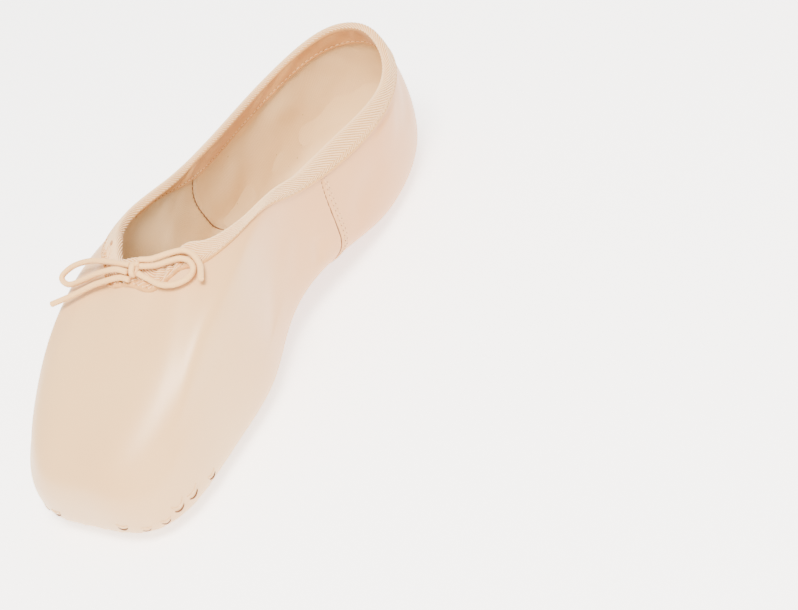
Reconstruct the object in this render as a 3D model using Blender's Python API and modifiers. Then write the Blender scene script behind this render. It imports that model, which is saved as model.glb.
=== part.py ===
"""Pointe shoe, standing empty on its sole: toe towards -Y, heel towards +Y, +Z up.

The upper is one hollow shell read from a short table of the last's sections. The
binding, the heel strip, the outsole and the insole are worked out from the same table.
"""

from collections import namedtuple

import bmesh
import bpy
import numpy as np
from mathutils import Matrix

MM = 0.001

# Main sizes of the last
LENGTH = 232 * MM
TOE_WIDTH = 55 * MM
BALL_WIDTH = 67.5 * MM
WAIST_WIDTH = 61 * MM
HEEL_WIDTH = 59 * MM
COLLAR_WIDTH = 55 * MM

# Heights above the sole's top
TOE_HEIGHT = 25.3 * MM
THROAT_HEIGHT = 61.22 * MM
SIDE_HEIGHT = 49.5 * MM
HEEL_HEIGHT = 50.5 * MM

# Underside
TOE_SPRING = 1.6 * MM
ARCH_RISE = 7.5 * MM
FOREFOOT_FLAT = (0.17, 0.33)
HEEL_FLAT = 0.77
SOLE_THICKNESS = 3 * MM
SOLE_LAP = 5 * MM
INSOLE_THICKNESS = 2.2 * MM

# Walls, trims and clearance
TOE_WALL = 2.6 * MM
SIDE_WALL = 1.3 * MM
GAP = 0.3 * MM
INSOLE_CLEARANCE = 1.6 * MM
BINDING_DEPTH = 9 * MM
BINDING_THICKNESS = 0.7 * MM
STRIP_WIDTH = 13 * MM
STRIP_THICKNESS = 0.6 * MM
STRIP_START = 2.0 * MM

# Drawstring and its bow
CORD_DIAMETER = 2.1 * MM
KNOT_HALF_SIZES = (2.0 * MM, 2.9 * MM, 2.0 * MM)
KNOT_BELOW_RIM = 3.8 * MM
KNOT_ASIDE = 2.4 * MM

# Sections of the last, from the middle of the toe round one side to the middle of the heel.
# width, box and rim are the sizes that a row follows. Of width: wide_x, foot_x and sole_x.
# Of box: wide_z and brow_z. Of rim: rim_z. Of COLLAR_WIDTH: rim_x. Of LENGTH: every y, from the
# toe's tip. full is how squarely the wall turns over its brow, stiff is the toe box's share.
Row = namedtuple(
    "Row",
    "name width box rim wide_x wide_y wide_z brow_z full rim_x rim_y rim_z foot_x foot_y sole_x sole_y stiff",
)
LAST = (
    Row("toe", TOE_WIDTH, TOE_HEIGHT, THROAT_HEIGHT,
        0.000, 0.000, 0.460, 1.000, 3.25, 0.000, 0.303, 1.000, 0.000, 0.013, 0.000, 0.103, 1.0),
    Row("platform", TOE_WIDTH, TOE_HEIGHT, THROAT_HEIGHT,
        0.270, 0.002, 0.460, 1.095, 2.13, 0.164, 0.305, 0.973, 0.220, 0.015, 0.180, 0.108, 1.0),
    Row("corner", TOE_WIDTH, TOE_HEIGHT, THROAT_HEIGHT,
        0.488, 0.028, 0.314, 1.350, 1.20, 0.270, 0.341, 1.002, 0.420, 0.039, 0.360, 0.127, 1.0),
    Row("wing", BALL_WIDTH, THROAT_HEIGHT, THROAT_HEIGHT,
        0.496, 0.090, 0.167, 0.737, 0.95, 0.358, 0.365, 0.968, 0.398, 0.116, 0.350, 0.177, 1.0),
    Row("side", BALL_WIDTH, THROAT_HEIGHT, THROAT_HEIGHT,
        0.515, 0.198, 0.257, 0.848, 1.69, 0.446, 0.428, 0.933, 0.391, 0.216, 0.355, 0.259, 0.8),
    Row("ball", BALL_WIDTH, SIDE_HEIGHT, SIDE_HEIGHT,
        0.497, 0.328, 0.346, 1.076, 2.29, 0.439, 0.516, 1.078, 0.349, 0.328, 0.315, 0.358, 0.4),
    Row("instep", BALL_WIDTH, SIDE_HEIGHT, SIDE_HEIGHT,
        0.393, 0.470, 0.400, 0.831, 1.70, 0.478, 0.585, 0.995, 0.253, 0.470, 0.215, 0.487, 0.1),
    Row("waist", WAIST_WIDTH, SIDE_HEIGHT, SIDE_HEIGHT,
        0.510, 0.642, 0.340, 0.745, 1.20, 0.501, 0.690, 0.930, 0.330, 0.642, 0.245, 0.634, 0.0),
    Row("heel_side", HEEL_WIDTH, HEEL_HEIGHT, HEEL_HEIGHT,
        0.522, 0.810, 0.375, 0.745, 1.00, 0.508, 0.850, 0.865, 0.400, 0.802, 0.305, 0.748, 0.0),
    Row("heel_turn", HEEL_WIDTH, HEEL_HEIGHT, HEEL_HEIGHT,
        0.371, 0.944, 0.410, 0.760, 1.00, 0.275, 0.950, 0.965, 0.228, 0.888, 0.190, 0.806, 0.2),
    Row("heel", HEEL_WIDTH, HEEL_HEIGHT, HEEL_HEIGHT,
        0.000, 1.000, 0.480, 0.745, 1.00, 0.000, 0.978, 1.000, 0.000, 0.914, 0.000, 0.823, 0.2),
)
HEEL_U = len(LAST) - 1
ROUND = 2 * HEEL_U

# Rings of the upper: 0 to 1 under the foot, 1 to 2 up to the widest line, 2 to 3 up to the collar
UNDER_RINGS = (0.0, 0.5, 1.0)
WALL_RINGS = (1.2, 1.42, 1.7, 2.0, 2.14, 2.28, 2.41, 2.52, 2.62, 2.72, 2.81, 2.9, 3.0)
ROUND_STEPS = 84

# The back of the heel strip is the shoe's last point
BASE = SOLE_THICKNESS + GAP
MIDDLE = (LENGTH + GAP + STRIP_THICKNESS) / 2

# Routes of the bow's cords from the knot's middle, in mm: across, down the vamp, out from it
LOOP_LEFT = ((-2.45, -1.3, 0.0), (-7.3, -1.5, -0.1), (-14.8, -2.2, -1.4), (-22.7, -2.2, -2.8),
             (-30.7, 0.0, -4.2), (-34.4, 4.3, -4.6), (-30.0, 6.7, -4.4), (-22.7, 4.5, -3.4),
             (-15.7, 2.3, -1.4), (-7.7, 0.9, 0.4), (-2.45, 1.25, 0.3))
LOOP_RIGHT = ((2.45, 1.3, 0.0), (5.5, 2.1, -1.9), (11.1, 3.5, -2.6), (16.0, 2.6, -3.6),
              (19.2, -0.6, -5.4), (19.6, -4.3, -6.4), (17.3, -6.8, -6.0), (14.4, -7.0, -4.5),
              (11.0, -5.1, -3.1), (6.8, -2.9, -2.2), (2.45, -1.25, 0.0))
END_LEFT = ((-1.2, 3.7, -0.4), (-5.6, 3.2, -0.9), (-10.8, 4.5, -1.4), (-17.3, 6.7, -2.2),
            (-24.6, 10.4, -3.0), (-33.8, 14.9, -3.4))
END_RIGHT = ((1.0, -3.6, -0.1), (5.6, -4.6, -0.7), (10.8, -7.9, -2.5), (14.4, -9.9, -4.3),
             (17.2, -9.7, -5.9), (19.7, -7.8, -7.0), (21.6, -5.5, -7.3), (24.1, -1.0, -6.2))
POINT_SPACING = 2.5 * MM


def closed_column(values, odd):
    """One column of LAST with its mirror image, as a closed run."""
    values = np.asarray(values, dtype=float)
    back = values[-2:0:-1]
    return np.concatenate([values, -back if odd else back])


def closed_spline(values, u):
    """Smooth closed curve through values, one at each whole u."""
    count = len(values)
    system = np.eye(count) * 4 + np.roll(np.eye(count), 1, axis=1) + np.roll(np.eye(count), -1, axis=1)
    bend = np.linalg.solve(system, 6 * (np.roll(values, -1) - 2 * values + np.roll(values, 1)))
    low = np.floor(u).astype(int)
    t = u - low
    a, b = low % count, (low + 1) % count
    straight = values[a] * (1 - t) + values[b] * t
    return straight + ((1 - t) ** 3 - (1 - t)) * bend[a] / 6 + (t ** 3 - t) * bend[b] / 6


def read(u, measure, odd=False):
    """A measure of each row of LAST, such as its width, at u."""
    return closed_spline(closed_column([measure(row) for row in LAST], odd), np.asarray(u, dtype=float))


def floor_height(y):
    """Height of the outsole's top and of the turned-in edge at y: toe spring, flats and arch."""
    share = (np.asarray(y, dtype=float) + MIDDLE) / LENGTH
    start, end = FOREFOOT_FLAT
    spring = TOE_SPRING * np.clip((start - share) / start, 0, 1) ** 2
    arch = ARCH_RISE * np.sin(np.pi * np.clip((share - end) / (HEEL_FLAT - end), 0, 1)) ** 2
    return SOLE_THICKNESS + spring + arch


def foot_ring(u):
    """Plan position of the line where the upper turns in under the foot."""
    x = read(u, lambda row: row.foot_x * row.width, odd=True)
    y = read(u, lambda row: row.foot_y * LENGTH) - MIDDLE
    return np.stack([x, y], axis=-1)


def sole_ring(u):
    """Plan position of the outsole's outline."""
    x = read(u, lambda row: row.sole_x * row.width, odd=True)
    y = read(u, lambda row: row.sole_y * LENGTH) - MIDDLE
    return np.stack([x, y], axis=-1)


def inset(ring, u, distance):
    """A plan ring moved inwards by distance."""
    step = 0.01
    along = ring(u + step) - ring(u - step)
    along /= np.linalg.norm(along, axis=-1, keepdims=True)
    inward = np.stack([-along[..., 1], along[..., 0]], axis=-1)
    return ring(u) + inward * np.asarray(distance)[..., None]


def conic(start, corner, end, weight, t):
    """Point at t on the conic from start to end that leans towards corner by weight."""
    a, b, c = (1 - t) ** 2, 2 * t * (1 - t) * weight, t ** 2
    total = (a + b + c)[..., None]
    return (start * a[..., None] + corner * b[..., None] + end * c[..., None]) / total


def even_steps(t, weight):
    """Spread t so that even steps of it make nearly even steps along a conic of that weight."""
    power = (1 + weight) / 2
    return t ** power / (t ** power + (1 - t) ** power)


def last_surface(u, v):
    """Outer face of the upper at u round the shoe and v up its wall."""
    u, v = np.broadcast_arrays(np.asarray(u, dtype=float), np.asarray(v, dtype=float))

    def lifted(plan, z):
        return np.concatenate([plan, z[..., None]], axis=-1)

    foot = foot_ring(u)
    foot_point = lifted(foot, floor_height(foot[..., 1]) + GAP)
    wide = np.stack([read(u, lambda row: row.wide_x * row.width, odd=True),
                     read(u, lambda row: row.wide_y * LENGTH) - MIDDLE], axis=-1)
    wide_point = lifted(wide, BASE + read(u, lambda row: row.wide_z * row.box))
    brow_point = lifted(wide, BASE + read(u, lambda row: row.brow_z * row.box))
    rim = np.stack([read(u, lambda row: row.rim_x * COLLAR_WIDTH, odd=True),
                    read(u, lambda row: row.rim_y * LENGTH) - MIDDLE], axis=-1)
    rim_point = lifted(rim, BASE + read(u, lambda row: row.rim_z * row.rim))
    corner = wide * 0.95 + foot * 0.05
    corner_point = lifted(corner, (foot_point[..., 2] + floor_height(corner[..., 1]) + GAP) / 2)
    opening = inset(sole_ring, u, np.full(u.shape, SOLE_LAP))
    under = opening + (foot - opening) * np.clip(v, 0, 1)[..., None]

    lower = conic(foot_point, corner_point, wide_point, 1.4, np.clip(v - 1, 0, 1))
    full = read(u, lambda row: row.full)
    upper = conic(wide_point, brow_point, rim_point, full, even_steps(np.clip(v - 2, 0, 1), full))
    flat = lifted(under, floor_height(under[..., 1]) + GAP)
    return np.where((v < 1)[..., None], flat, np.where((v < 2)[..., None], lower, upper))


def last_normal(u, v):
    """Outward unit normal of the upper's outer face."""
    step = 0.01
    u, v = np.broadcast_arrays(np.asarray(u, dtype=float), np.asarray(v, dtype=float))
    low, high = np.maximum(v - step, 0), np.minimum(v + step, 3)
    across = last_surface(u + step, v) - last_surface(u - step, v)
    upward = last_surface(u, high) - last_surface(u, low)
    normal = np.cross(across, upward)
    return normal / np.linalg.norm(normal, axis=-1, keepdims=True)


def wall_thickness(u, v):
    """Wall of the upper: the stiffened box round the toe, plain cloth and canvas elsewhere."""
    rise = np.clip((np.asarray(v, dtype=float) - 1.0) / 0.5, 0, 1)
    fall = np.clip((2.75 - v) / 0.4, 0, 1)
    blend = rise ** 2 * (3 - 2 * rise) * fall ** 2 * (3 - 2 * fall)
    stiff = np.clip(read(u, lambda row: row.stiff), 0, 1)
    return SIDE_WALL + (TOE_WALL - SIDE_WALL) * stiff * blend


def below_rim(u, distance):
    """The v that lies a distance down the wall from the collar's edge."""
    levels = np.linspace(3.0, 2.2, 81)
    line = last_surface(np.asarray(u, dtype=float)[:, None], levels)
    steps = np.linalg.norm(np.diff(line, axis=1), axis=-1)
    travelled = np.concatenate([np.zeros((len(line), 1)), np.cumsum(steps, axis=1)], axis=1)
    return np.array([np.interp(distance, row, levels) for row in travelled])


def grid_faces(rows, columns, closed):
    """Faces of a grid of points, row after row, closed round its columns or open."""
    faces = []
    for j in range(rows - 1):
        for i in range(columns if closed else columns - 1):
            k = (i + 1) % columns
            faces.append((j * columns + i, j * columns + k, (j + 1) * columns + k, (j + 1) * columns + i))
    return faces


def add_piece(name, mesh, material):
    """A named object for a sub-part, in the shoe's collection."""
    piece = bpy.data.objects.new(name, mesh)
    bpy.data.collections["pointe_shoe"].objects.link(piece)
    mesh.materials.append(material)
    return piece


def add_surface(name, points, faces, material):
    """An open or closed surface from points and faces, smooth shaded."""
    mesh = bpy.data.meshes.new(name)
    mesh.from_pydata([tuple(point) for point in points], [], faces)
    mesh.shade_smooth()
    return add_piece(name, mesh, material)


def add_ring(name, rows, material):
    """A closed solid from rows of points that run round the shoe, each joined to the next."""
    points = np.concatenate([rows, rows[:1]])
    faces = grid_faces(len(points), rows.shape[1], True)
    solid = add_surface(name, points.reshape(-1, 3), faces, material)
    join = bmesh.new()
    join.from_mesh(solid.data)
    bmesh.ops.remove_doubles(join, verts=join.verts, dist=0.001 * MM)
    join.to_mesh(solid.data)
    join.free()
    return solid


def make_material(name, colour, roughness):
    """A plain Principled finish from an sRGB colour."""
    linear = [c / 12.92 if c <= 0.04045 else ((c + 0.055) / 1.055) ** 2.4 for c in colour]
    material = bpy.data.materials.new(name)
    material.use_nodes = True
    shader = material.node_tree.nodes["Principled BSDF"]
    shader.inputs["Base Color"].default_value = (*linear, 1)
    shader.inputs["Roughness"].default_value = roughness
    shader.inputs["Metallic"].default_value = 0
    return material


def build_upper(material):
    """The upper: rings of the last's surface, and the same rings moved inwards by the wall."""
    u, v = np.meshgrid(np.arange(ROUND_STEPS) * ROUND / ROUND_STEPS, UNDER_RINGS + WALL_RINGS)
    outer = last_surface(u, v)
    inner = outer - last_normal(u, v) * wall_thickness(u, v)[..., None]
    return add_ring("upper", np.concatenate([outer, inner[::-1]]), material)


def build_binding(material):
    """The tape folded over the collar's edge, a closed U section swept round the collar."""
    u = np.arange(ROUND_STEPS) * ROUND / ROUND_STEPS
    wall = wall_thickness(u, np.full(u.shape, 3.0))[:, None]
    edge_normal = last_normal(u, 3.0)
    rise = last_surface(u, 3.0) - last_surface(u, 2.99)
    rise /= np.linalg.norm(rise, axis=-1, keepdims=True)
    middle = last_surface(u, 3.0) - edge_normal * wall / 2
    depths = [below_rim(u, BINDING_DEPTH * share) for share in (1, 0.62, 0.28, 0)]

    def leg(offset):
        return [last_surface(u, v) + last_normal(u, v) * offset for v in depths]

    def turn(radius):
        angles = np.radians((45, 90, 135))
        return [middle + (edge_normal * np.cos(a) + rise * np.sin(a)) * radius for a in angles]

    near, far = GAP, GAP + BINDING_THICKNESS
    outside = leg(far) + turn(wall / 2 + far) + leg(-wall - far)[::-1]
    inside = leg(near) + turn(wall / 2 + near) + leg(-wall - near)[::-1]
    return add_ring("collar_binding", np.stack(outside + inside[::-1]), material)


def build_heel_strip(material):
    """The strip over the back seam, cut from the upper's own surface one gap outside it."""
    columns = 7
    bottom = under_v_at(sole_ring(np.array([float(HEEL_U)]))[0, 1] + STRIP_START)
    top = below_rim(np.array([float(HEEL_U)]), BINDING_DEPTH + 2 * GAP)[0]
    levels = [bottom] + [v for v in UNDER_RINGS + WALL_RINGS if bottom + 0.05 < v < top - 0.02] + [top]
    points = []
    for v in levels:
        half_u = half_width_u(v, STRIP_WIDTH / 2)
        u = HEEL_U + np.linspace(-half_u, half_u, columns)
        points.append(last_surface(u, v) + last_normal(u, v) * GAP)
    points = np.concatenate(points)
    strip = add_surface("heel_strip", points, grid_faces(len(levels), columns, False), material)
    solidify = strip.modifiers.new("cloth", "SOLIDIFY")
    solidify.thickness = STRIP_THICKNESS
    solidify.offset = 1
    return strip


def under_v_at(y):
    """The v under the heel's middle line whose point lies at y."""
    v = np.linspace(0, 1, 201)
    line = last_surface(np.full(v.shape, float(HEEL_U)), v)[:, 1]
    return float(np.interp(y, line, v))


def half_width_u(v, half_width):
    """How far u runs from the heel's middle before the surface is half_width to the side."""
    reach = np.linspace(0, 1.5, 151)
    across = np.abs(last_surface(HEEL_U + reach, np.full(reach.shape, v))[:, 0])
    return float(np.interp(half_width, across, reach))


def build_board(name, outline, lift, thickness, material):
    """A flat board with the given plan outline, bent to the sole's arch and toe spring."""
    board = bmesh.new()
    board.faces.new([board.verts.new((x, y, 0)) for x, y in outline])
    low, high = outline[:, 1].min(), outline[:, 1].max()
    shares = np.concatenate([np.linspace(0, 1, 49), [*FOREFOOT_FLAT, HEEL_FLAT]])
    for share in np.unique(shares):
        y = share * LENGTH - MIDDLE
        if low + 0.5 * MM < y < high - 0.5 * MM:
            geometry = board.verts[:] + board.edges[:] + board.faces[:]
            bmesh.ops.bisect_plane(board, geom=geometry, plane_co=(0, y, 0), plane_no=(0, 1, 0), dist=1e-6)
    for vertex in board.verts:
        vertex.co.z = float(floor_height(vertex.co.y)) + lift
    mesh = bpy.data.meshes.new(name)
    board.to_mesh(mesh)
    board.free()
    piece = add_piece(name, mesh, material)
    solidify = piece.modifiers.new("thickness", "SOLIDIFY")
    solidify.thickness = thickness
    solidify.offset = -1
    return piece


def build_outsole(material):
    """The leather outsole, its top one gap under the turned-in edge of the upper."""
    u = np.arange(ROUND_STEPS) * ROUND / ROUND_STEPS
    return build_board("outsole", sole_ring(u), 0, SOLE_THICKNESS, material)


def build_insole(material):
    """The insole, lying on the turned-in edge inside the upper."""
    u = np.arange(ROUND_STEPS) * ROUND / ROUND_STEPS
    stiff = np.clip(read(u, lambda row: row.stiff), 0, 1)
    wall = SIDE_WALL + (TOE_WALL - SIDE_WALL) * stiff
    outline = inset(foot_ring, u, wall + INSOLE_CLEARANCE)
    lift = GAP + SIDE_WALL + GAP + INSOLE_THICKNESS
    return build_board("insole", outline, lift, INSOLE_THICKNESS, material)


def throat_frame():
    """The knot's middle and its three directions: across, down the vamp and out from it."""
    v = below_rim(np.array([0.0]), KNOT_BELOW_RIM)
    point, normal = last_surface(0.0, v)[0], last_normal(0.0, v)[0]
    down = last_surface(0.0, v - 0.01)[0] - last_surface(0.0, v + 0.01)[0]
    down -= normal * np.dot(down, normal)
    down /= np.linalg.norm(down)
    across = np.array([1.0, 0.0, 0.0])
    centre = point + normal * (GAP + BINDING_THICKNESS + GAP + KNOT_HALF_SIZES[2]) + across * KNOT_ASIDE
    return centre, across, down, normal


def build_knot(material):
    """The bow's knot, a small rounded lump on the binding."""
    centre, across, down, normal = throat_frame()
    half = KNOT_HALF_SIZES
    axes = np.stack([across * half[0], -down * half[1], normal * half[2], centre], axis=1)
    place = Matrix([[*row] for row in axes] + [[0, 0, 0, 1]])
    knot = bmesh.new()
    bmesh.ops.create_uvsphere(knot, u_segments=14, v_segments=9, radius=1, matrix=place)
    bmesh.ops.recalc_face_normals(knot, faces=knot.faces)
    mesh = bpy.data.meshes.new("drawstring_knot")
    knot.to_mesh(mesh)
    knot.free()
    mesh.shade_smooth()
    return add_piece("drawstring_knot", mesh, material)


def smooth_route(points, spacing):
    """Evenly spaced points on a smooth curve through the route's points."""
    points = np.asarray(points, dtype=float)
    ends = np.concatenate([[2 * points[0] - points[1]], points, [2 * points[-1] - points[-2]]])
    fine = []
    for a, b, c, d in zip(ends, ends[1:], ends[2:], ends[3:]):
        for t in np.linspace(0, 1, 24, endpoint=False):
            fine.append(0.5 * (2 * b + (c - a) * t + (2 * a - 5 * b + 4 * c - d) * t ** 2
                               + (3 * b - a - 3 * c + d) * t ** 3))
    fine = np.array(fine + [points[-1]])
    travelled = np.concatenate([[0], np.cumsum(np.linalg.norm(np.diff(fine, axis=0), axis=1))])
    wanted = np.linspace(0, travelled[-1], round(travelled[-1] / spacing) + 1)
    return np.stack([np.interp(wanted, travelled, fine[:, axis]) for axis in range(3)], axis=1)


def build_cord(name, route, material):
    """One stretch of the drawstring, a tube along its route from the knot."""
    centre, across, down, normal = throat_frame()
    frame = np.stack([across, down, normal])
    points = smooth_route(np.array(route) * MM, POINT_SPACING) @ frame + centre
    curve = bpy.data.curves.new(name, "CURVE")
    curve.dimensions = "3D"
    curve.bevel_depth = CORD_DIAMETER / 2
    curve.bevel_resolution = 2
    curve.use_fill_caps = True
    spline = curve.splines.new("POLY")
    spline.points.add(len(points) - 1)
    for target, point in zip(spline.points, points):
        target.co = (*point, 1)
    return add_piece(name, curve, material)


def main():
    """Clear the scene and build every piece of the shoe."""
    for old in list(bpy.data.objects):
        bpy.data.objects.remove(old, do_unlink=True)
    collection = bpy.data.collections.new("pointe_shoe")
    bpy.context.scene.collection.children.link(collection)

    satin = make_material("satin", (0.92, 0.87, 0.80), 0.45)
    tape = make_material("binding_tape", (0.94, 0.88, 0.79), 0.75)
    leather = make_material("sole_leather", (0.75, 0.58, 0.50), 0.7)
    lining = make_material("insole_board", (0.87, 0.80, 0.69), 0.85)
    cotton = make_material("cord_cotton", (0.95, 0.86, 0.78), 0.7)
    strip_satin = make_material("heel_strip_satin", (0.92, 0.86, 0.79), 0.45)

    build_outsole(leather)
    build_insole(lining)
    build_upper(satin)
    build_binding(tape)
    build_heel_strip(strip_satin)
    build_knot(cotton)
    build_cord("drawstring_loop_left", LOOP_LEFT, cotton)
    build_cord("drawstring_loop_right", LOOP_RIGHT, cotton)
    build_cord("drawstring_end_left", END_LEFT, cotton)
    build_cord("drawstring_end_right", END_RIGHT, cotton)


main()
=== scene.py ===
"""Looks of one empty pointe shoe on a pale studio floor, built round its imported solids."""

import logging
from dataclasses import dataclass, field
from enum import Enum

import bmesh
import bpy
import numpy as np
from mathutils import Matrix, Vector


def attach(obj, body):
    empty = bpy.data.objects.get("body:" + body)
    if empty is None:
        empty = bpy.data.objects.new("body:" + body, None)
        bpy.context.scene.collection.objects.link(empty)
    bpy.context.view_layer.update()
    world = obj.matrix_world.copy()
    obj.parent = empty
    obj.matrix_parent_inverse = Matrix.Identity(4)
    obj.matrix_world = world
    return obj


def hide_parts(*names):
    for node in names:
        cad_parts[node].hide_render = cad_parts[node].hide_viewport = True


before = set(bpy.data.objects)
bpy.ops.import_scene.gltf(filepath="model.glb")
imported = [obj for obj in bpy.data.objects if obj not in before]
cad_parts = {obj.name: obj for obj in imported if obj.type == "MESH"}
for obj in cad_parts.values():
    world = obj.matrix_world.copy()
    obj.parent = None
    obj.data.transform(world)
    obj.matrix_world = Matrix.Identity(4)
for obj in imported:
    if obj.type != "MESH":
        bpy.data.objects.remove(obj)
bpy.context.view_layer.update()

MM = 0.001
LOG = logging.getLogger("pointe_shoe")
Array = np.ndarray
Material = bpy.types.Material
Mesh = bpy.types.Mesh
Node = bpy.types.Node
Piece = bpy.types.Object
Socket = bpy.types.NodeSocket
Tree = bpy.types.NodeTree


class Side(Enum):
    """The shoe's two sides, by the sign of x."""

    RIGHT = 1
    LEFT = -1


class CordEnd(Enum):
    """How a stretch of the drawstring ends away from the knot."""

    KNOT = "object"
    CUT = "bare"


# The last


@dataclass(frozen=True)
class Section:
    """One section of the last, as shares of the sizes that it follows."""

    width: float
    box: float
    rim: float
    wide_x: float
    wide_y: float
    wide_z: float
    brow_z: float
    full: float
    rim_x: float
    rim_y: float
    rim_z: float
    foot_x: float
    foot_y: float
    sole_x: float
    sole_y: float
    stiff: float


TOE_WIDTH, BALL_WIDTH, WAIST_WIDTH, HEEL_WIDTH = 55 * MM, 67.5 * MM, 61 * MM, 59 * MM
TOE_HEIGHT, THROAT_HEIGHT, SIDE_HEIGHT, HEEL_HEIGHT = 25.3 * MM, 61.22 * MM, 49.5 * MM, 50.5 * MM

SECTIONS = (
    Section(TOE_WIDTH, TOE_HEIGHT, THROAT_HEIGHT,
            0.000, 0.000, 0.460, 1.000, 3.25, 0.000, 0.303, 1.000, 0.000, 0.013, 0.000, 0.103, 1.0),
    Section(TOE_WIDTH, TOE_HEIGHT, THROAT_HEIGHT,
            0.270, 0.002, 0.460, 1.095, 2.13, 0.164, 0.305, 0.973, 0.220, 0.015, 0.180, 0.108, 1.0),
    Section(TOE_WIDTH, TOE_HEIGHT, THROAT_HEIGHT,
            0.488, 0.028, 0.314, 1.350, 1.20, 0.270, 0.341, 1.002, 0.420, 0.039, 0.360, 0.127, 1.0),
    Section(BALL_WIDTH, THROAT_HEIGHT, THROAT_HEIGHT,
            0.496, 0.090, 0.167, 0.737, 0.95, 0.358, 0.365, 0.968, 0.398, 0.116, 0.350, 0.177, 1.0),
    Section(BALL_WIDTH, THROAT_HEIGHT, THROAT_HEIGHT,
            0.515, 0.198, 0.257, 0.848, 1.69, 0.446, 0.428, 0.933, 0.391, 0.216, 0.355, 0.259, 0.8),
    Section(BALL_WIDTH, SIDE_HEIGHT, SIDE_HEIGHT,
            0.497, 0.328, 0.346, 1.076, 2.29, 0.439, 0.516, 1.078, 0.349, 0.328, 0.315, 0.358, 0.4),
    Section(BALL_WIDTH, SIDE_HEIGHT, SIDE_HEIGHT,
            0.393, 0.470, 0.400, 0.831, 1.70, 0.478, 0.585, 0.995, 0.253, 0.470, 0.215, 0.487, 0.1),
    Section(WAIST_WIDTH, SIDE_HEIGHT, SIDE_HEIGHT,
            0.510, 0.642, 0.340, 0.745, 1.20, 0.501, 0.690, 0.930, 0.330, 0.642, 0.245, 0.634, 0.0),
    Section(HEEL_WIDTH, HEEL_HEIGHT, HEEL_HEIGHT,
            0.522, 0.810, 0.375, 0.745, 1.00, 0.508, 0.850, 0.865, 0.400, 0.802, 0.305, 0.748, 0.0),
    Section(HEEL_WIDTH, HEEL_HEIGHT, HEEL_HEIGHT,
            0.371, 0.944, 0.410, 0.760, 1.00, 0.275, 0.950, 0.965, 0.228, 0.888, 0.190, 0.806, 0.2),
    Section(HEEL_WIDTH, HEEL_HEIGHT, HEEL_HEIGHT,
            0.000, 1.000, 0.480, 0.745, 1.00, 0.000, 0.978, 1.000, 0.000, 0.914, 0.000, 0.823, 0.2),
)
HEEL_U = len(SECTIONS) - 1
ROUND = 2 * HEEL_U


def closed_spline(values: Array, u: Array) -> Array:
    """Read a smooth closed curve.

    Args:
        values: One value at each whole u.
        u: Places to read it at.

    Returns:
        The curve's values at u.
    """
    count = len(values)
    system = np.eye(count) * 4 + np.roll(np.eye(count), 1, axis=1) + np.roll(np.eye(count), -1, axis=1)
    bend = np.linalg.solve(system, 6 * (np.roll(values, -1) - 2 * values + np.roll(values, 1)))
    low = np.floor(u).astype(int)
    t = u - low
    a, b = low % count, (low + 1) % count
    straight = values[a] * (1 - t) + values[b] * t
    return straight + ((1 - t) ** 3 - (1 - t)) * bend[a] / 6 + (t ** 3 - t) * bend[b] / 6


def conic(start: Array, corner: Array, end: Array, weight: Array | float, t: Array) -> Array:
    """Point on the conic between two ends.

    Args:
        start: Its first end.
        corner: The corner that it leans towards.
        end: Its last end.
        weight: How strongly it leans.
        t: Share of the way, from 0 to 1.

    Returns:
        The points at t.
    """
    a, b, c = (1 - t) ** 2, 2 * t * (1 - t) * weight, t ** 2
    total = (a + b + c)[..., None]
    return (start * a[..., None] + corner * b[..., None] + end * c[..., None]) / total


def smooth_step(value: Array) -> Array:
    """Ease a share from 0 to 1, flat at both ends."""
    t = np.clip(value, 0, 1)
    return t * t * (3 - 2 * t)


def from_toe(u: Array) -> Array:
    """Signed way round the shoe from the middle of the toe, up to HEEL_U on either side."""
    return (u + HEEL_U) % ROUND - HEEL_U


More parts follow.
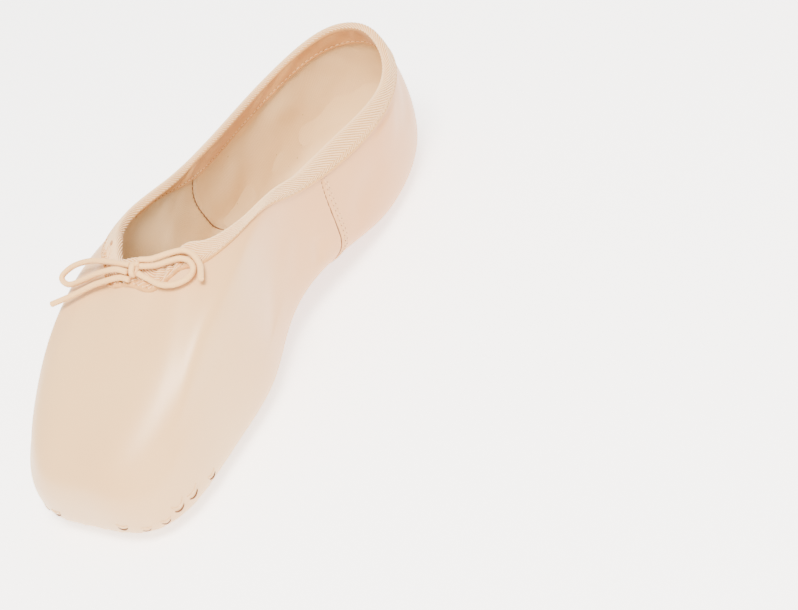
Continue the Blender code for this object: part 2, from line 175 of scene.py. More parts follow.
@dataclass(frozen=True)
class Last:
    """The last's surface, the same as the solids follow: u runs round the shoe and v up its wall."""

    length: float = 232 * MM
    collar_width: float = 55 * MM
    toe_spring: float = 1.6 * MM
    arch_rise: float = 7.5 * MM
    forefoot_flat: tuple[float, float] = (0.17, 0.33)
    heel_flat: float = 0.77
    sole_thickness: float = 3 * MM
    sole_lap: float = 5 * MM
    toe_wall: float = 2.6 * MM
    side_wall: float = 1.3 * MM
    gap: float = 0.3 * MM
    strip_thickness: float = 0.6 * MM

    @property
    def middle(self) -> float:
        """Distance from the toe's tip to the middle of the shoe."""
        return (self.length + self.gap + self.strip_thickness) / 2

    def read(self, u: Array, name: str, scale: str = "", odd: bool = False) -> Array:
        """Read one column of SECTIONS round the shoe.

        Args:
            u: Places round the shoe.
            name: The column.
            scale: The column whose size it is a share of, if any.
            odd: True for a measure that changes sign on the other side.

        Returns:
            The column's values at u.
        """
        values = np.array([getattr(s, name) * (getattr(s, scale) if scale else 1) for s in SECTIONS])
        back = values[-2:0:-1]
        return closed_spline(np.concatenate([values, -back if odd else back]), np.asarray(u, dtype=float))

    def ring(self, u: Array, name: str) -> Array:
        """Plan position of the foot, sole or widest line at u."""
        x = self.read(u, name + "_x", "width", odd=True)
        return np.stack([x, self.read(u, name + "_y") * self.length - self.middle], axis=-1)

    def inset_ring(self, u: Array, name: str, distance: Array | float) -> Array:
        """A plan ring moved inwards by a distance."""
        along = self.ring(u + 0.01, name) - self.ring(u - 0.01, name)
        along /= np.linalg.norm(along, axis=-1, keepdims=True)
        inward = np.stack([-along[..., 1], along[..., 0]], axis=-1)
        return self.ring(u, name) + inward * np.asarray(distance)[..., None]

    def floor_height(self, y: Array) -> Array:
        """Height of the outsole's top at y: toe spring, flats and arch."""
        share = (np.asarray(y, dtype=float) + self.middle) / self.length
        start, end = self.forefoot_flat
        spring = self.toe_spring * np.clip((start - share) / start, 0, 1) ** 2
        arch = self.arch_rise * np.sin(np.pi * np.clip((share - end) / (self.heel_flat - end), 0, 1)) ** 2
        return self.sole_thickness + spring + arch

    def surface(self, u: Array, v: Array) -> Array:
        """Outer face of the upper.

        Args:
            u: Places round the shoe.
            v: Places up the wall: 0 to 1 underneath, 2 at the widest line, 3 at the collar.

        Returns:
            Points in metres, one for each place.
        """
        u, v = np.broadcast_arrays(np.asarray(u, dtype=float), np.asarray(v, dtype=float))

        def lifted(plan: Array, z: Array) -> Array:
            """Plan points at a height."""
            return np.concatenate([plan, z[..., None]], axis=-1)

        base = self.sole_thickness + self.gap
        foot, wide = self.ring(u, "foot"), self.ring(u, "wide")
        foot_point = lifted(foot, self.floor_height(foot[..., 1]) + self.gap)
        wide_point = lifted(wide, base + self.read(u, "wide_z", "box"))
        brow_point = lifted(wide, base + self.read(u, "brow_z", "box"))
        rim = np.stack([self.read(u, "rim_x", odd=True) * self.collar_width,
                        self.read(u, "rim_y") * self.length - self.middle], axis=-1)
        rim_point = lifted(rim, base + self.read(u, "rim_z", "rim"))
        corner = wide * 0.95 + foot * 0.05
        corner_height = (foot_point[..., 2] + self.floor_height(corner[..., 1]) + self.gap) / 2
        opening = self.inset_ring(u, "sole", np.full(u.shape, self.sole_lap))
        under = opening + (foot - opening) * np.clip(v, 0, 1)[..., None]
        lower = conic(foot_point, lifted(corner, corner_height), wide_point, 1.4, np.clip(v - 1, 0, 1))
        full, t = self.read(u, "full"), np.clip(v - 2, 0, 1)
        power = (1 + full) / 2
        upper = conic(wide_point, brow_point, rim_point, full, t ** power / (t ** power + (1 - t) ** power))
        flat = lifted(under, self.floor_height(under[..., 1]) + self.gap)
        return np.where((v < 1)[..., None], flat, np.where((v < 2)[..., None], lower, upper))

    def normal(self, u: Array, v: Array) -> Array:
        """Outward unit normal of the outer face."""
        u, v = np.broadcast_arrays(np.asarray(u, dtype=float), np.asarray(v, dtype=float))
        across = self.surface(u + 0.01, v) - self.surface(u - 0.01, v)
        upward = self.surface(u, np.minimum(v + 0.01, 3)) - self.surface(u, np.maximum(v - 0.01, 0))
        normal = np.cross(across, upward)
        return normal / np.linalg.norm(normal, axis=-1, keepdims=True)

    def raised(self, u: Array, v: Array, height: Array | float) -> tuple[Array, Array]:
        """Points at a height in metres out from the outer face, and their outward directions."""
        normal = self.normal(u, v)
        return self.surface(u, v) + normal * np.asarray(height)[..., None], normal

    def stiff(self, u: Array) -> Array:
        """Share of the toe box in the wall at u."""
        return np.clip(self.read(u, "stiff"), 0, 1)

    def wall(self, u: Array, v: Array) -> Array:
        """Thickness of the upper's wall."""
        blend = smooth_step((np.asarray(v, dtype=float) - 1.0) / 0.5) * smooth_step((2.75 - v) / 0.4)
        return self.side_wall + (self.toe_wall - self.side_wall) * self.stiff(u) * blend

    def below_rim(self, u: Array, distance: float) -> Array:
        """The v that lies a distance down the wall from the collar's edge."""
        levels = np.linspace(3.0, 2.2, 81)
        line = self.surface(np.asarray(u, dtype=float)[:, None], levels)
        steps = np.linalg.norm(np.diff(line, axis=1), axis=-1)
        travelled = np.concatenate([np.zeros((len(line), 1)), np.cumsum(steps, axis=1)], axis=1)
        return np.array([np.interp(distance, row, levels) for row in travelled])

    def stretch(self, u: float, v: float) -> tuple[float, float]:
        """Millimetres for each whole u and each whole v at one place."""
        at = np.array([u - 0.02, u + 0.02, u, u]), np.array([v, v, v - 0.02, v + 0.02])
        p = self.surface(*at)
        return np.linalg.norm(p[1] - p[0]) / 0.04 / MM, np.linalg.norm(p[3] - p[2]) / 0.04 / MM


# Meshes and nodes


def linear(colour: str) -> tuple[float, float, float, float]:
    """An sRGB hex colour as linear red, green and blue, with alpha."""
    parts = [int(colour[i:i + 2], 16) / 255 for i in (1, 3, 5)]
    return (*[c / 12.92 if c <= 0.04045 else ((c + 0.055) / 1.055) ** 2.4 for c in parts], 1.0)


def add_node(tree: Tree, kind: str, inputs: dict | None = None, **settings) -> Node:
    """Add a node with its settings and links.

    Args:
        tree: The tree that it goes into.
        kind: Its type.
        inputs: Values and links by socket name or number.
        **settings: Its properties.

    Returns:
        The new node.
    """
    node = tree.nodes.new(kind)
    for name, value in settings.items():
        setattr(node, name, value)
    for key, value in (inputs or {}).items():
        if isinstance(value, Socket):
            tree.links.new(value, node.inputs[key])
        else:
            node.inputs[key].default_value = value
    return node


def link_piece(name: str, mesh: Mesh, material: Material | None = None) -> Piece:
    """Put a mesh into the scene as an object, in its finish if one is given."""
    if material:
        mesh.materials.append(material)
    piece = bpy.data.objects.new(name, mesh)
    bpy.context.scene.collection.objects.link(piece)
    return piece
def grid_piece(name: str, points: Array, uv: Array, material: Material,
               close_rows: bool = False) -> Piece:
    """A smooth piece from rows of points, closed round its columns.

    Args:
        name: Name of the piece.
        points: Rows of points, in metres.
        uv: Cloth coordinates in mm, with one more column, and one more row where rows are closed.
        material: Its finish.
        close_rows: True where the last row joins the first.

    Returns:
        The piece, with coincident points merged.
    """
    rows, columns = points.shape[:2]
    j, i = np.meshgrid(np.arange(rows if close_rows else rows - 1), np.arange(columns), indexing="ij")
    j2, i2 = (j + 1) % rows, (i + 1) % columns
    faces = np.stack([j * columns + i, j * columns + i2, j2 * columns + i2, j2 * columns + i], axis=-1)
    corners = np.stack([uv[j, i], uv[j, i + 1], uv[j + 1, i + 1], uv[j + 1, i]], axis=-2)
    mesh = bpy.data.meshes.new(name)
    mesh.from_pydata(points.reshape(-1, 3).tolist(), [], faces.reshape(-1, 4).tolist())
    layer = mesh.uv_layers.new(name="cloth")
    layer.data.foreach_set("uv", corners.reshape(-1).astype(np.float32))
    work = bmesh.new()
    work.from_mesh(mesh)
    bmesh.ops.remove_doubles(work, verts=work.verts, dist=1e-6)
    work.to_mesh(mesh)
    work.free()
    mesh.shade_smooth()
    return link_piece(name, mesh, material)


def travelled(points: Array, axis: int) -> Array:
    """Distance in mm along one axis of a grid of points, from its first point."""
    steps = np.linalg.norm(np.diff(points, axis=axis), axis=-1) / MM
    start = np.zeros_like(np.take(steps, [0], axis=axis))
    return np.concatenate([start, np.cumsum(steps, axis=axis)], axis=axis)


def strand_piece(name: str, lines: list[tuple[Array, Array]], width: float, height: float,
                 material: Material) -> Piece:
    """Thin closed strands that taper at both ends.

    Args:
        name: Name of the piece.
        lines: Points in metres and outward directions of each strand.
        width: Width across, in mm.
        height: Height out from the surface, in mm.
        material: Its finish.

    Returns:
        One piece with all the strands.
    """
    points, faces = [], []
    sides = 6
    turns = np.arange(sides) / sides * 2 * np.pi
    for line, outward in lines:
        side = np.cross(outward, np.gradient(line, axis=0))
        side /= np.linalg.norm(side, axis=-1, keepdims=True)
        taper = 0.15 + 0.85 * np.sqrt(np.sin(np.pi * np.linspace(0.02, 0.98, len(line))))[:, None, None]
        ring = side[:, None] * (np.cos(turns) * width)[:, None]
        ring = ring + outward[:, None] * (np.sin(turns) * height)[:, None]
        first, last = len(points), len(points) + sides * (len(line) - 1)
        points += (line[:, None] + ring * taper * MM / 2).reshape(-1, 3).tolist()
        for row in range(first, last, sides):
            for i in range(sides):
                a, b = row + i, row + (i + 1) % sides
                faces.append((b, a, a + sides, b + sides))
        faces.append(tuple(first + i for i in range(sides)))
        faces.append(tuple(last + i for i in reversed(range(sides))))
    mesh = bpy.data.meshes.new(name)
    mesh.from_pydata(points, [], faces)
    work = bmesh.new()
    work.from_mesh(mesh)
    bmesh.ops.recalc_face_normals(work, faces=work.faces)
    work.to_mesh(mesh)
    work.free()
    mesh.shade_smooth()
    return link_piece(name, mesh, material)


def grow(tree: Tree, base: Piece, name: str, values: dict) -> Piece:
    """Run a Geometry Nodes tree on a base and keep the result as a plain mesh.

    Args:
        tree: The tree.
        base: The object that it starts from, which is kept.
        name: Name of the new piece.
        values: The tree's inputs by name.

    Returns:
        The new piece.
    """
    modifier = base.modifiers.new(name, "NODES")
    modifier.node_group = tree
    for item in tree.interface.items_tree:
        if item.item_type == "SOCKET" and item.in_out == "INPUT" and item.name in values:
            modifier[item.identifier] = values[item.name]
    bpy.context.view_layer.update()
    evaluated = base.evaluated_get(bpy.context.evaluated_depsgraph_get())
    mesh = bpy.data.meshes.new_from_object(evaluated)
    mesh.name = name
    base.modifiers.remove(modifier)
    return link_piece(name, mesh)


def keep(piece: Piece, replaces: tuple[str, ...] = ()) -> Piece:
    """Fasten a finished piece to the shoe and the solids it stands for."""
    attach(piece, "root")
    if replaces:
        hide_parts(*replaces)
    LOG.info("%s: %d faces", piece.name, len(piece.data.polygons))
    return piece


# Finishes


@dataclass(frozen=True)
class Finish:
    """What every finish shares: its name, and how its material starts and ends."""

    name: str

    def start(self) -> tuple[Material, Tree, Socket, Socket]:
        """A new material, its node tree, and the sockets of its cloth and body coordinates."""
        material = bpy.data.materials.new(self.name)
        material.use_nodes = True
        place = add_node(material.node_tree, "ShaderNodeTexCoord")
        return material, material.node_tree, place.outputs["UV"], place.outputs["Object"]

    def dress(self, material: Material, values: dict, height: Socket | None = None,
              strength: float = 0.5, depth: float = 0.0) -> Material:
        """Finish a material's shader.

        Args:
            material: The material.
            values: The shader's inputs by name, as values or links.
            height: Height of the surface's relief, if it has one.
            strength: Strength of the relief.
            depth: Depth of the relief in mm.

        Returns:
            The same material.
        """
        tree = material.node_tree
        shader = tree.nodes["Principled BSDF"]
        if height:
            values = {**values, "Normal": add_node(tree, "ShaderNodeBump", {
                "Strength": strength, "Distance": depth * MM, "Height": height}).outputs["Normal"]}
        for key, value in values.items():
            if isinstance(value, Socket):
                tree.links.new(value, shader.inputs[key])
            else:
                shader.inputs[key].default_value = value
        return material


@dataclass(frozen=True)
class Satin(Finish):
    """Polyester satin, woven with long floats: a soft broad sheen with faint streaks along the warp."""

    light: str = "#D6B480"
    # Painted warm bounce light: the peach mixed into the satin towards its quarters
    peach_bounce: str = "#CC8444"
    roughness: float = 0.36
    # A real float is about 0.15 mm; it is drawn four times as coarse so that it shows
    streak: float = 0.6
    bounce_patch: float = 45.0
    # The satin is painted peach from the vamp to the quarters, a painted warm bounce light, over this stretch
    # of y in mm
    bounce_from: float = -60.0
    bounce_to: float = 20.0

    def make(self) -> Material:
        """Build the material."""
        material, tree, cloth, body = self.start()
        warp = add_node(tree, "ShaderNodeMapping", {
            "Vector": cloth, "Scale": (1 / self.streak, 0.08 / self.streak, 1)})
        streaks = add_node(tree, "ShaderNodeTexNoise", {
            "Vector": warp.outputs["Vector"], "Scale": 1.0, "Detail": 2.0, "Roughness": 0.5})
        twill = add_node(tree, "ShaderNodeMapping", {
            "Vector": cloth, "Rotation": (0, 0, 0.6), "Scale": (1.25, 1.25, 1)})
        ribs = add_node(tree, "ShaderNodeTexWave", {
            "Vector": twill.outputs["Vector"], "Scale": 0.32, "Distortion": 0.6, "Detail": 1.0},
            wave_type="BANDS", bands_direction="X")
        both = add_node(tree, "ShaderNodeMix", {
            0: 0.35, 2: streaks.outputs["Fac"], 3: ribs.outputs["Fac"]}, data_type="FLOAT")
        # Noise patches spread the painted peach bounce light unevenly over the satin
        place = add_node(tree, "ShaderNodeMapping", {"Vector": body, "Scale": (1000 / self.bounce_patch,) * 3})
        bounce_patches = add_node(tree, "ShaderNodeTexNoise", {
            "Vector": place.outputs["Vector"], "Scale": 1.0, "Detail": 1.0, "Roughness": 0.4})
        along = add_node(tree, "ShaderNodeSeparateXYZ", {"Vector": body})
        back = add_node(tree, "ShaderNodeMapRange", {
            "Value": along.outputs["Y"], "From Min": self.bounce_from * MM, "From Max": self.bounce_to * MM,
            "To Min": 0.1, "To Max": 0.8})
        share = add_node(tree, "ShaderNodeMix", {
            0: 0.35, 2: back.outputs["Result"], 3: bounce_patches.outputs["Fac"]}, data_type="FLOAT")
        colour = add_node(tree, "ShaderNodeMix", {
            0: share.outputs[0], 6: linear(self.light), 7: linear(self.peach_bounce)}, data_type="RGBA")
        return self.dress(material, {
            "Base Color": colour.outputs[2], "Roughness": self.roughness, "Specular IOR Level": 0.6,
            "Sheen Weight": 0.06, "Sheen Roughness": 0.45, "Sheen Tint": linear("#FFD9B4")},
            both.outputs[0], 0.5, 0.03)


@dataclass(frozen=True)
class Canvas(Finish):
    """Unbleached cotton canvas, plain woven: matt, with an even grain and a few dark seed flecks."""

    # A lit and a shaded copy of the canvas colour, mixed in patches as painted light and shade
    light: str = "#E0C294"
    shade: str = "#D6B482"
    fleck: str = "#9C8058"
    # A real canvas thread is about 0.5 mm; it is drawn at 0.8 mm so that it shows
    thread: float = 0.8
    fleck_spacing: float = 9.0

    def make(self) -> Material:
        """Build the material."""
        material, tree, cloth, place = self.start()
        waves = []
        for angle in (0.0, np.pi / 2):
            lay = add_node(tree, "ShaderNodeMapping", {"Vector": cloth, "Rotation": (0, 0, angle)})
            waves.append(add_node(tree, "ShaderNodeTexWave", {
                "Vector": lay.outputs["Vector"], "Scale": 0.314 / self.thread, "Distortion": 1.2,
                "Detail": 1.0, "Detail Scale": 2.0}, wave_type="BANDS", bands_direction="X"))
        weave = add_node(tree, "ShaderNodeMath", {
            0: waves[0].outputs["Fac"], 1: waves[1].outputs["Fac"]}, operation="MAXIMUM")
        body = add_node(tree, "ShaderNodeMapping", {"Vector": place, "Scale": (1000.0,) * 3})
        # Large noise patches mix the lit and the shaded copy: painted light and shade, not stains
        lit_shade_noise = add_node(tree, "ShaderNodeTexNoise", {
            "Vector": body.outputs["Vector"], "Scale": 0.06, "Detail": 3.0})
        lit_and_shaded = add_node(tree, "ShaderNodeMix", {
            0: lit_shade_noise.outputs["Fac"], 6: linear(self.light), 7: linear(self.shade)}, data_type="RGBA")
        seeds = add_node(tree, "ShaderNodeTexVoronoi", {
            "Vector": body.outputs["Vector"], "Scale": 1 / self.fleck_spacing, "Randomness": 1.0})
        spot = add_node(tree, "ShaderNodeMapRange", {
            "Value": seeds.outputs["Distance"], "From Min": 0.035, "From Max": 0.05,
            "To Min": 0.6, "To Max": 0.0})
        colour = add_node(tree, "ShaderNodeMix", {
            0: spot.outputs["Result"], 6: lit_and_shaded.outputs[2], 7: linear(self.fleck)}, data_type="RGBA")
        return self.dress(material, {
            "Base Color": colour.outputs[2], "Roughness": 0.9, "Specular IOR Level": 0.2},
            weave.outputs["Value"], 0.6, 0.08)


@dataclass(frozen=True)
class Cotton(Finish):
    """Cotton yarn, spun and woven or braided: matt and fuzzy, with a slight warm sheen."""

    colour: str
    dark: str
    grain: float = 0.5
    roughness: float = 0.75
    relief: float = 0.06

    def make(self) -> Material:
        """Build the material."""
        material, tree, _, body = self.start()
        lay = add_node(tree, "ShaderNodeMapping", {"Vector": body, "Scale": (1000 / self.grain,) * 3})
        yarn = add_node(tree, "ShaderNodeTexNoise", {
            "Vector": lay.outputs["Vector"], "Scale": 1.0, "Detail": 1.0})
        colour = add_node(tree, "ShaderNodeMix", {
            0: yarn.outputs["Fac"], 6: linear(self.colour), 7: linear(self.dark)}, data_type="RGBA")
        return self.dress(material, {
            "Base Color": colour.outputs[2], "Roughness": self.roughness, "Specular IOR Level": 0.3,
            "Sheen Weight": 0.3, "Sheen Tint": linear("#FFE6CE")}, yarn.outputs["Fac"], 0.5, self.relief)


@dataclass(frozen=True)
class SoleLeather(Finish):
    """Vegetable-tanned split leather, buffed and scored: matt pink brown with fine dark score lines."""

    light: str = "#C48F70"
    dark: str = "#AD795A"
    score: str = "#7D5140"
    grain: float = 1.4
    cloud: float = 30.0
    line_width: float = 0.055

    def make(self) -> Material:
        """Build the material; the UV map holds the two families of score lines, in cells."""
        material, tree, cells, place = self.start()
        body = add_node(tree, "ShaderNodeMapping", {"Vector": place, "Scale": (1000 / self.grain,) * 3})
        grain = add_node(tree, "ShaderNodeTexNoise", {
            "Vector": body.outputs["Vector"], "Scale": 1.0, "Detail": 4.0})
        cloud = add_node(tree, "ShaderNodeTexNoise", {
            "Vector": body.outputs["Vector"], "Scale": self.grain / self.cloud, "Detail": 3.0})
        hide = add_node(tree, "ShaderNodeMix", {
            0: cloud.outputs["Fac"], 6: linear(self.light), 7: linear(self.dark)}, data_type="RGBA")
        lines = add_node(tree, "ShaderNodeSeparateXYZ", {"Vector": cells})
        cuts = []
        for axis in ("X", "Y"):
            off = add_node(tree, "ShaderNodeMath", {0: lines.outputs[axis], 1: 1.0}, operation="PINGPONG")
            cuts.append(add_node(tree, "ShaderNodeMapRange", {
                "Value": off.outputs["Value"], "From Min": self.line_width * 0.3,
                "From Max": self.line_width, "To Min": 1.0, "To Max": 0.0}))
        both = add_node(tree, "ShaderNodeMath", {
            0: cuts[0].outputs["Result"], 1: cuts[1].outputs["Result"]}, operation="MAXIMUM")
        worn = add_node(tree, "ShaderNodeMath", {
            0: both.outputs["Value"], 1: grain.outputs["Fac"]}, operation="MULTIPLY")
        colour = add_node(tree, "ShaderNodeMix", {
            0: worn.outputs["Value"], 6: hide.outputs[2], 7: linear(self.score)}, data_type="RGBA")
        depth = add_node(tree, "ShaderNodeMath", {
            0: grain.outputs["Fac"], 1: both.outputs["Value"]}, operation="SUBTRACT")
        return self.dress(material, {
            "Base Color": colour.outputs[2], "Roughness": 0.72, "Specular IOR Level": 0.35},
            depth.outputs["Value"], 0.6, 0.12)


@dataclass(frozen=True)
class StudioPaper(Finish):
    """Translucent white acrylic lit from below, as product photographs use: even and nearly white."""

    name: str = "studio_paper"
    colour: str = "#F6F6F6"
    glow: float = 2.1

    def make(self) -> Material:
        """Build the material."""
        return self.dress(self.start()[0], {
            "Base Color": linear(self.colour), "Roughness": 0.85, "Specular IOR Level": 0.2,
            "Emission Color": linear(self.colour), "Emission Strength": self.glow})


# Stitches and ribs


def new_tree(name: str, inputs: dict[str, str], output: str) -> tuple[Tree, bpy.types.NodeOutputs]:
    """Start a Geometry Nodes tree.

    Args:
        name: Its name.
        inputs: The kind of each input socket, by name.
        output: Name of its one output, a geometry.

    Returns:
        The tree and the sockets that its inputs come in by.
    """
    tree = bpy.data.node_groups.new(name, "GeometryNodeTree")
    for label, kind in inputs.items():
        tree.interface.new_socket(label, in_out="INPUT", socket_type="NodeSocket" + kind)
    tree.interface.new_socket(output, in_out="OUTPUT", socket_type="NodeSocketGeometry")
    return tree, add_node(tree, "NodeGroupInput").outputs


@dataclass
class Sewing:
    """Rows of machine stitches that follow a line, each with its needle hole drawn as a dark bead of painted
    shade.
    """

    thread: Material
    hole: Material
    spacing: float = 2.6
    stitch: float = 1.9
    thickness: float = 0.42
    tree: Tree | None = None

    def build_tree(self) -> Tree:
        """Build the tree that lays stitches and holes along a line."""
        tree, given = new_tree("stitch_row", {
            "Line": "Geometry", "Spacing": "Float", "Stitch Length": "Float", "Thread Thickness": "Float",
            "Hole Width": "Float", "Thread": "Material", "Hole": "Material"}, "Stitches")
        line = add_node(tree, "GeometryNodeMeshToCurve", {"Mesh": given["Line"]})
        even = add_node(tree, "GeometryNodeResampleCurve", {
            "Curve": line.outputs["Curve"], "Length": given["Spacing"]}, mode="LENGTH")
        outward = add_node(tree, "GeometryNodeInputNamedAttribute", {"Name": "outward"},
                           data_type="FLOAT_VECTOR")
        tangent = add_node(tree, "GeometryNodeInputTangent")
        upright = add_node(tree, "FunctionNodeAlignRotationToVector", {
            "Vector": outward.outputs["Attribute"]}, axis="Z")
        lay = add_node(tree, "FunctionNodeAlignRotationToVector", {
            "Rotation": upright.outputs["Rotation"], "Vector": tangent.outputs["Tangent"]},
            axis="X", pivot_axis="Z")
        bead = add_node(tree, "GeometryNodeMeshUVSphere", {"Segments": 6, "Rings": 5, "Radius": 0.5})
        parts = []
        for kind, long, thick in (("Thread", "Stitch Length", "Thread Thickness"),
                                  ("Hole", "Hole Width", "Hole Width")):
            size = add_node(tree, "ShaderNodeCombineXYZ", {
                "X": given[long], "Y": given[thick], "Z": given["Thread Thickness"]})
            shape = add_node(tree, "GeometryNodeTransform", {
                "Geometry": bead.outputs["Mesh"], "Scale": size.outputs["Vector"]})
            points = even.outputs["Curve"]
            if kind == "Hole":
                half = add_node(tree, "ShaderNodeMath", {0: given["Spacing"], 1: 0.5}, operation="MULTIPLY")
                step = add_node(tree, "ShaderNodeVectorMath", {
                    0: tangent.outputs["Tangent"], "Scale": half.outputs["Value"]}, operation="SCALE")
                points = add_node(tree, "GeometryNodeSetPosition", {
                    "Geometry": points, "Offset": step.outputs["Vector"]}).outputs["Geometry"]
            laid = add_node(tree, "GeometryNodeInstanceOnPoints", {
                "Points": points, "Instance": shape.outputs["Geometry"], "Rotation": lay.outputs["Rotation"]})
            real = add_node(tree, "GeometryNodeRealizeInstances", {"Geometry": laid.outputs["Instances"]})
            parts.append(add_node(tree, "GeometryNodeSetMaterial", {
                "Geometry": real.outputs["Geometry"], "Material": given[kind]}))
        joined = add_node(tree, "GeometryNodeJoinGeometry")
        for part in parts:
            tree.links.new(part.outputs["Geometry"], joined.inputs["Geometry"])
        smooth = add_node(tree, "GeometryNodeSetShadeSmooth", {"Geometry": joined.outputs["Geometry"]})
        add_node(tree, "NodeGroupOutput", {"Stitches": smooth.outputs["Geometry"]})
        return tree

    def sew(self, name: str, lines: list[tuple[Array, Array]], spacing: float | None = None,
            hole: float = 0.5) -> Piece:
        """Sew rows of stitches.

        Args:
            name: Name of the piece.
            lines: Points in metres and outward directions of each row.
            spacing: Millimetres from stitch to stitch, or None for the usual.
            hole: Width of the needle holes in mm.

        Returns:
            All the rows as one piece.
        """
        self.tree = self.tree or self.build_tree()
        spacing = spacing or self.spacing
        points = np.concatenate([p for p, _ in lines])
        starts = np.cumsum([0] + [len(p) for p, _ in lines])
        edges = [(k, k + 1) for a, b in zip(starts, starts[1:]) for k in range(a, b - 1)]
        mesh = bpy.data.meshes.new(name + "_line")
        mesh.from_pydata(points.tolist(), edges, [])
        layer = mesh.attributes.new("outward", "FLOAT_VECTOR", "POINT")
        layer.data.foreach_set("vector", np.concatenate([n for _, n in lines]).reshape(-1).astype(np.float32))
        base = link_piece(name + "_line", mesh)
        piece = grow(self.tree, base, name, {
            "Spacing": spacing * MM, "Stitch Length": self.stitch * spacing / self.spacing * MM,
            "Thread Thickness": self.thickness * MM, "Hole Width": hole * MM,
            "Thread": self.thread, "Hole": self.hole})
        bpy.data.objects.remove(base, do_unlink=True)
        return piece


RIB_POINTS = 20


def rib_tree() -> Tree:
    """Build the tree that lays slanted ribs over a tape, by the tape's own cloth coordinates."""
    tree, given = new_tree("twill_ribs", {
        "Tape": "Geometry", "Count": "Int", "Tape Length": "Float", "Start": "Float", "End": "Float",
        "Slant": "Float", "Rib Thickness": "Float", "Yarn": "Material"}, "Ribs")
    first = add_node(tree, "ShaderNodeCombineXYZ", {"X": 0.0, "Y": given["Start"], "Z": 0.0})
    last = add_node(tree, "ShaderNodeCombineXYZ", {"X": given["Slant"], "Y": given["End"], "Z": 0.0})
    line = add_node(tree, "GeometryNodeCurvePrimitiveLine", {
        "Start": first.outputs["Vector"], "End": last.outputs["Vector"]})
    fine = add_node(tree, "GeometryNodeResampleCurve", {
        "Curve": line.outputs["Curve"], "Count": RIB_POINTS}, mode="COUNT")
    step = add_node(tree, "ShaderNodeMath", {0: given["Tape Length"], 1: given["Count"]}, operation="DIVIDE")
    offset = add_node(tree, "ShaderNodeCombineXYZ", {"X": step.outputs["Value"], "Y": 0.0, "Z": 0.0})
    spread = add_node(tree, "GeometryNodeMeshLine", {
        "Count": given["Count"], "Offset": offset.outputs["Vector"]})
    laid = add_node(tree, "GeometryNodeInstanceOnPoints", {
        "Points": spread.outputs["Mesh"], "Instance": fine.outputs["Curve"]})
    real = add_node(tree, "GeometryNodeRealizeInstances", {"Geometry": laid.outputs["Instances"]})
    here = add_node(tree, "GeometryNodeInputPosition")
    split = add_node(tree, "ShaderNodeSeparateXYZ", {"Vector": here.outputs["Position"]})
    wrapped = add_node(tree, "ShaderNodeMath", {
        0: split.outputs["X"], 1: given["Tape Length"], 2: 0.01 * MM}, operation="WRAP")
    on_tape = add_node(tree, "ShaderNodeCombineXYZ", {
        "X": wrapped.outputs["Value"], "Y": split.outputs["Y"], "Z": 0.0})
    cloth = add_node(tree, "GeometryNodeInputNamedAttribute", {"Name": "cloth"}, data_type="FLOAT_VECTOR")
    metres = add_node(tree, "ShaderNodeVectorMath", {
        0: cloth.outputs["Attribute"], "Scale": MM}, operation="SCALE")
    sample = add_node(tree, "GeometryNodeSampleUVSurface", data_type="FLOAT_VECTOR")
    tree.links.new(given["Tape"], sample.inputs["Mesh"])
    tree.links.new(here.outputs["Position"], sample.inputs["Value"])
    tree.links.new(metres.outputs["Vector"], sample.inputs["UV Map"])
    tree.links.new(on_tape.outputs["Vector"], sample.inputs["Sample UV"])
    placed = add_node(tree, "GeometryNodeSetPosition", {
        "Geometry": real.outputs["Geometry"], "Selection": sample.outputs["Is Valid"],
        "Position": sample.outputs["Value"]})
    radius = add_node(tree, "ShaderNodeMath", {0: given["Rib Thickness"], 1: 0.5}, operation="MULTIPLY")
    section = add_node(tree, "GeometryNodeCurvePrimitiveCircle", {
        "Resolution": 5, "Radius": radius.outputs["Value"]})
    tubes = add_node(tree, "GeometryNodeCurveToMesh", {
        "Curve": placed.outputs["Geometry"], "Profile Curve": section.outputs["Curve"], "Fill Caps": True})
    smooth = add_node(tree, "GeometryNodeSetShadeSmooth", {"Geometry": tubes.outputs["Mesh"]})
    dressed = add_node(tree, "GeometryNodeSetMaterial", {
        "Geometry": smooth.outputs["Geometry"], "Material": given["Yarn"]})
    add_node(tree, "NodeGroupOutput", {"Ribs": dressed.outputs["Geometry"]})
    return tree


# The upper


@dataclass(frozen=True)
class Fold:
    """One soft fold in the upper, in mm: a ridge, or a hollow where its height is negative."""

    u: float
    v: float
    length: float
    width: float
    height: float
    angle: float = 0.0
    bow: float = 0.0

    def relief(self, last: Last, u: Array, v: Array) -> Array:
        """Height of the fold at each place, in mm."""
        round_scale, up_scale = last.stretch(self.u, self.v)
        a = from_toe(u - self.u) * round_scale
        b = (v - self.v) * up_scale
        turn = np.radians(self.angle)
        x = a * np.cos(turn) + b * np.sin(turn)
        y = b * np.cos(turn) - a * np.sin(turn) - self.bow * (2 * x / self.length) ** 2
        return self.height * np.exp(-(y / self.width) ** 2 - (2 * x / self.length) ** 4)


FOLDS = (
    Fold(3.00, 2.28, 66, 5.0, -0.50, 0, 1.5),
    Fold(-3.00, 2.28, 66, 5.0, -0.50, 0, -1.5),
    Fold(6.48, 2.04, 9, 3.6, -0.95, 70),
    Fold(6.05, 2.30, 14, 5.0, 0.52, 60),
    Fold(5.55, 2.12, 22, 6.0, -0.68, 35, 3),
    Fold(7.30, 2.16, 26, 7.0, -0.83, 10, -4),
    Fold(7.90, 2.42, 22, 7.0, 0.68, -25, 3),
    Fold(8.60, 2.20, 20, 6.0, -0.60, 40, 2),
    Fold(-6.10, 2.20, 22, 5.5, -1.05, 55, 3),
    Fold(-5.60, 2.32, 24, 6.0, 0.75, 35, -3),
    Fold(-7.20, 2.14, 30, 7.0, -1.12, -12, 4),
    Fold(-7.75, 2.44, 26, 7.0, 0.90, -30, 4),
    Fold(-8.45, 2.22, 22, 6.0, -0.90, 25, -3),
)


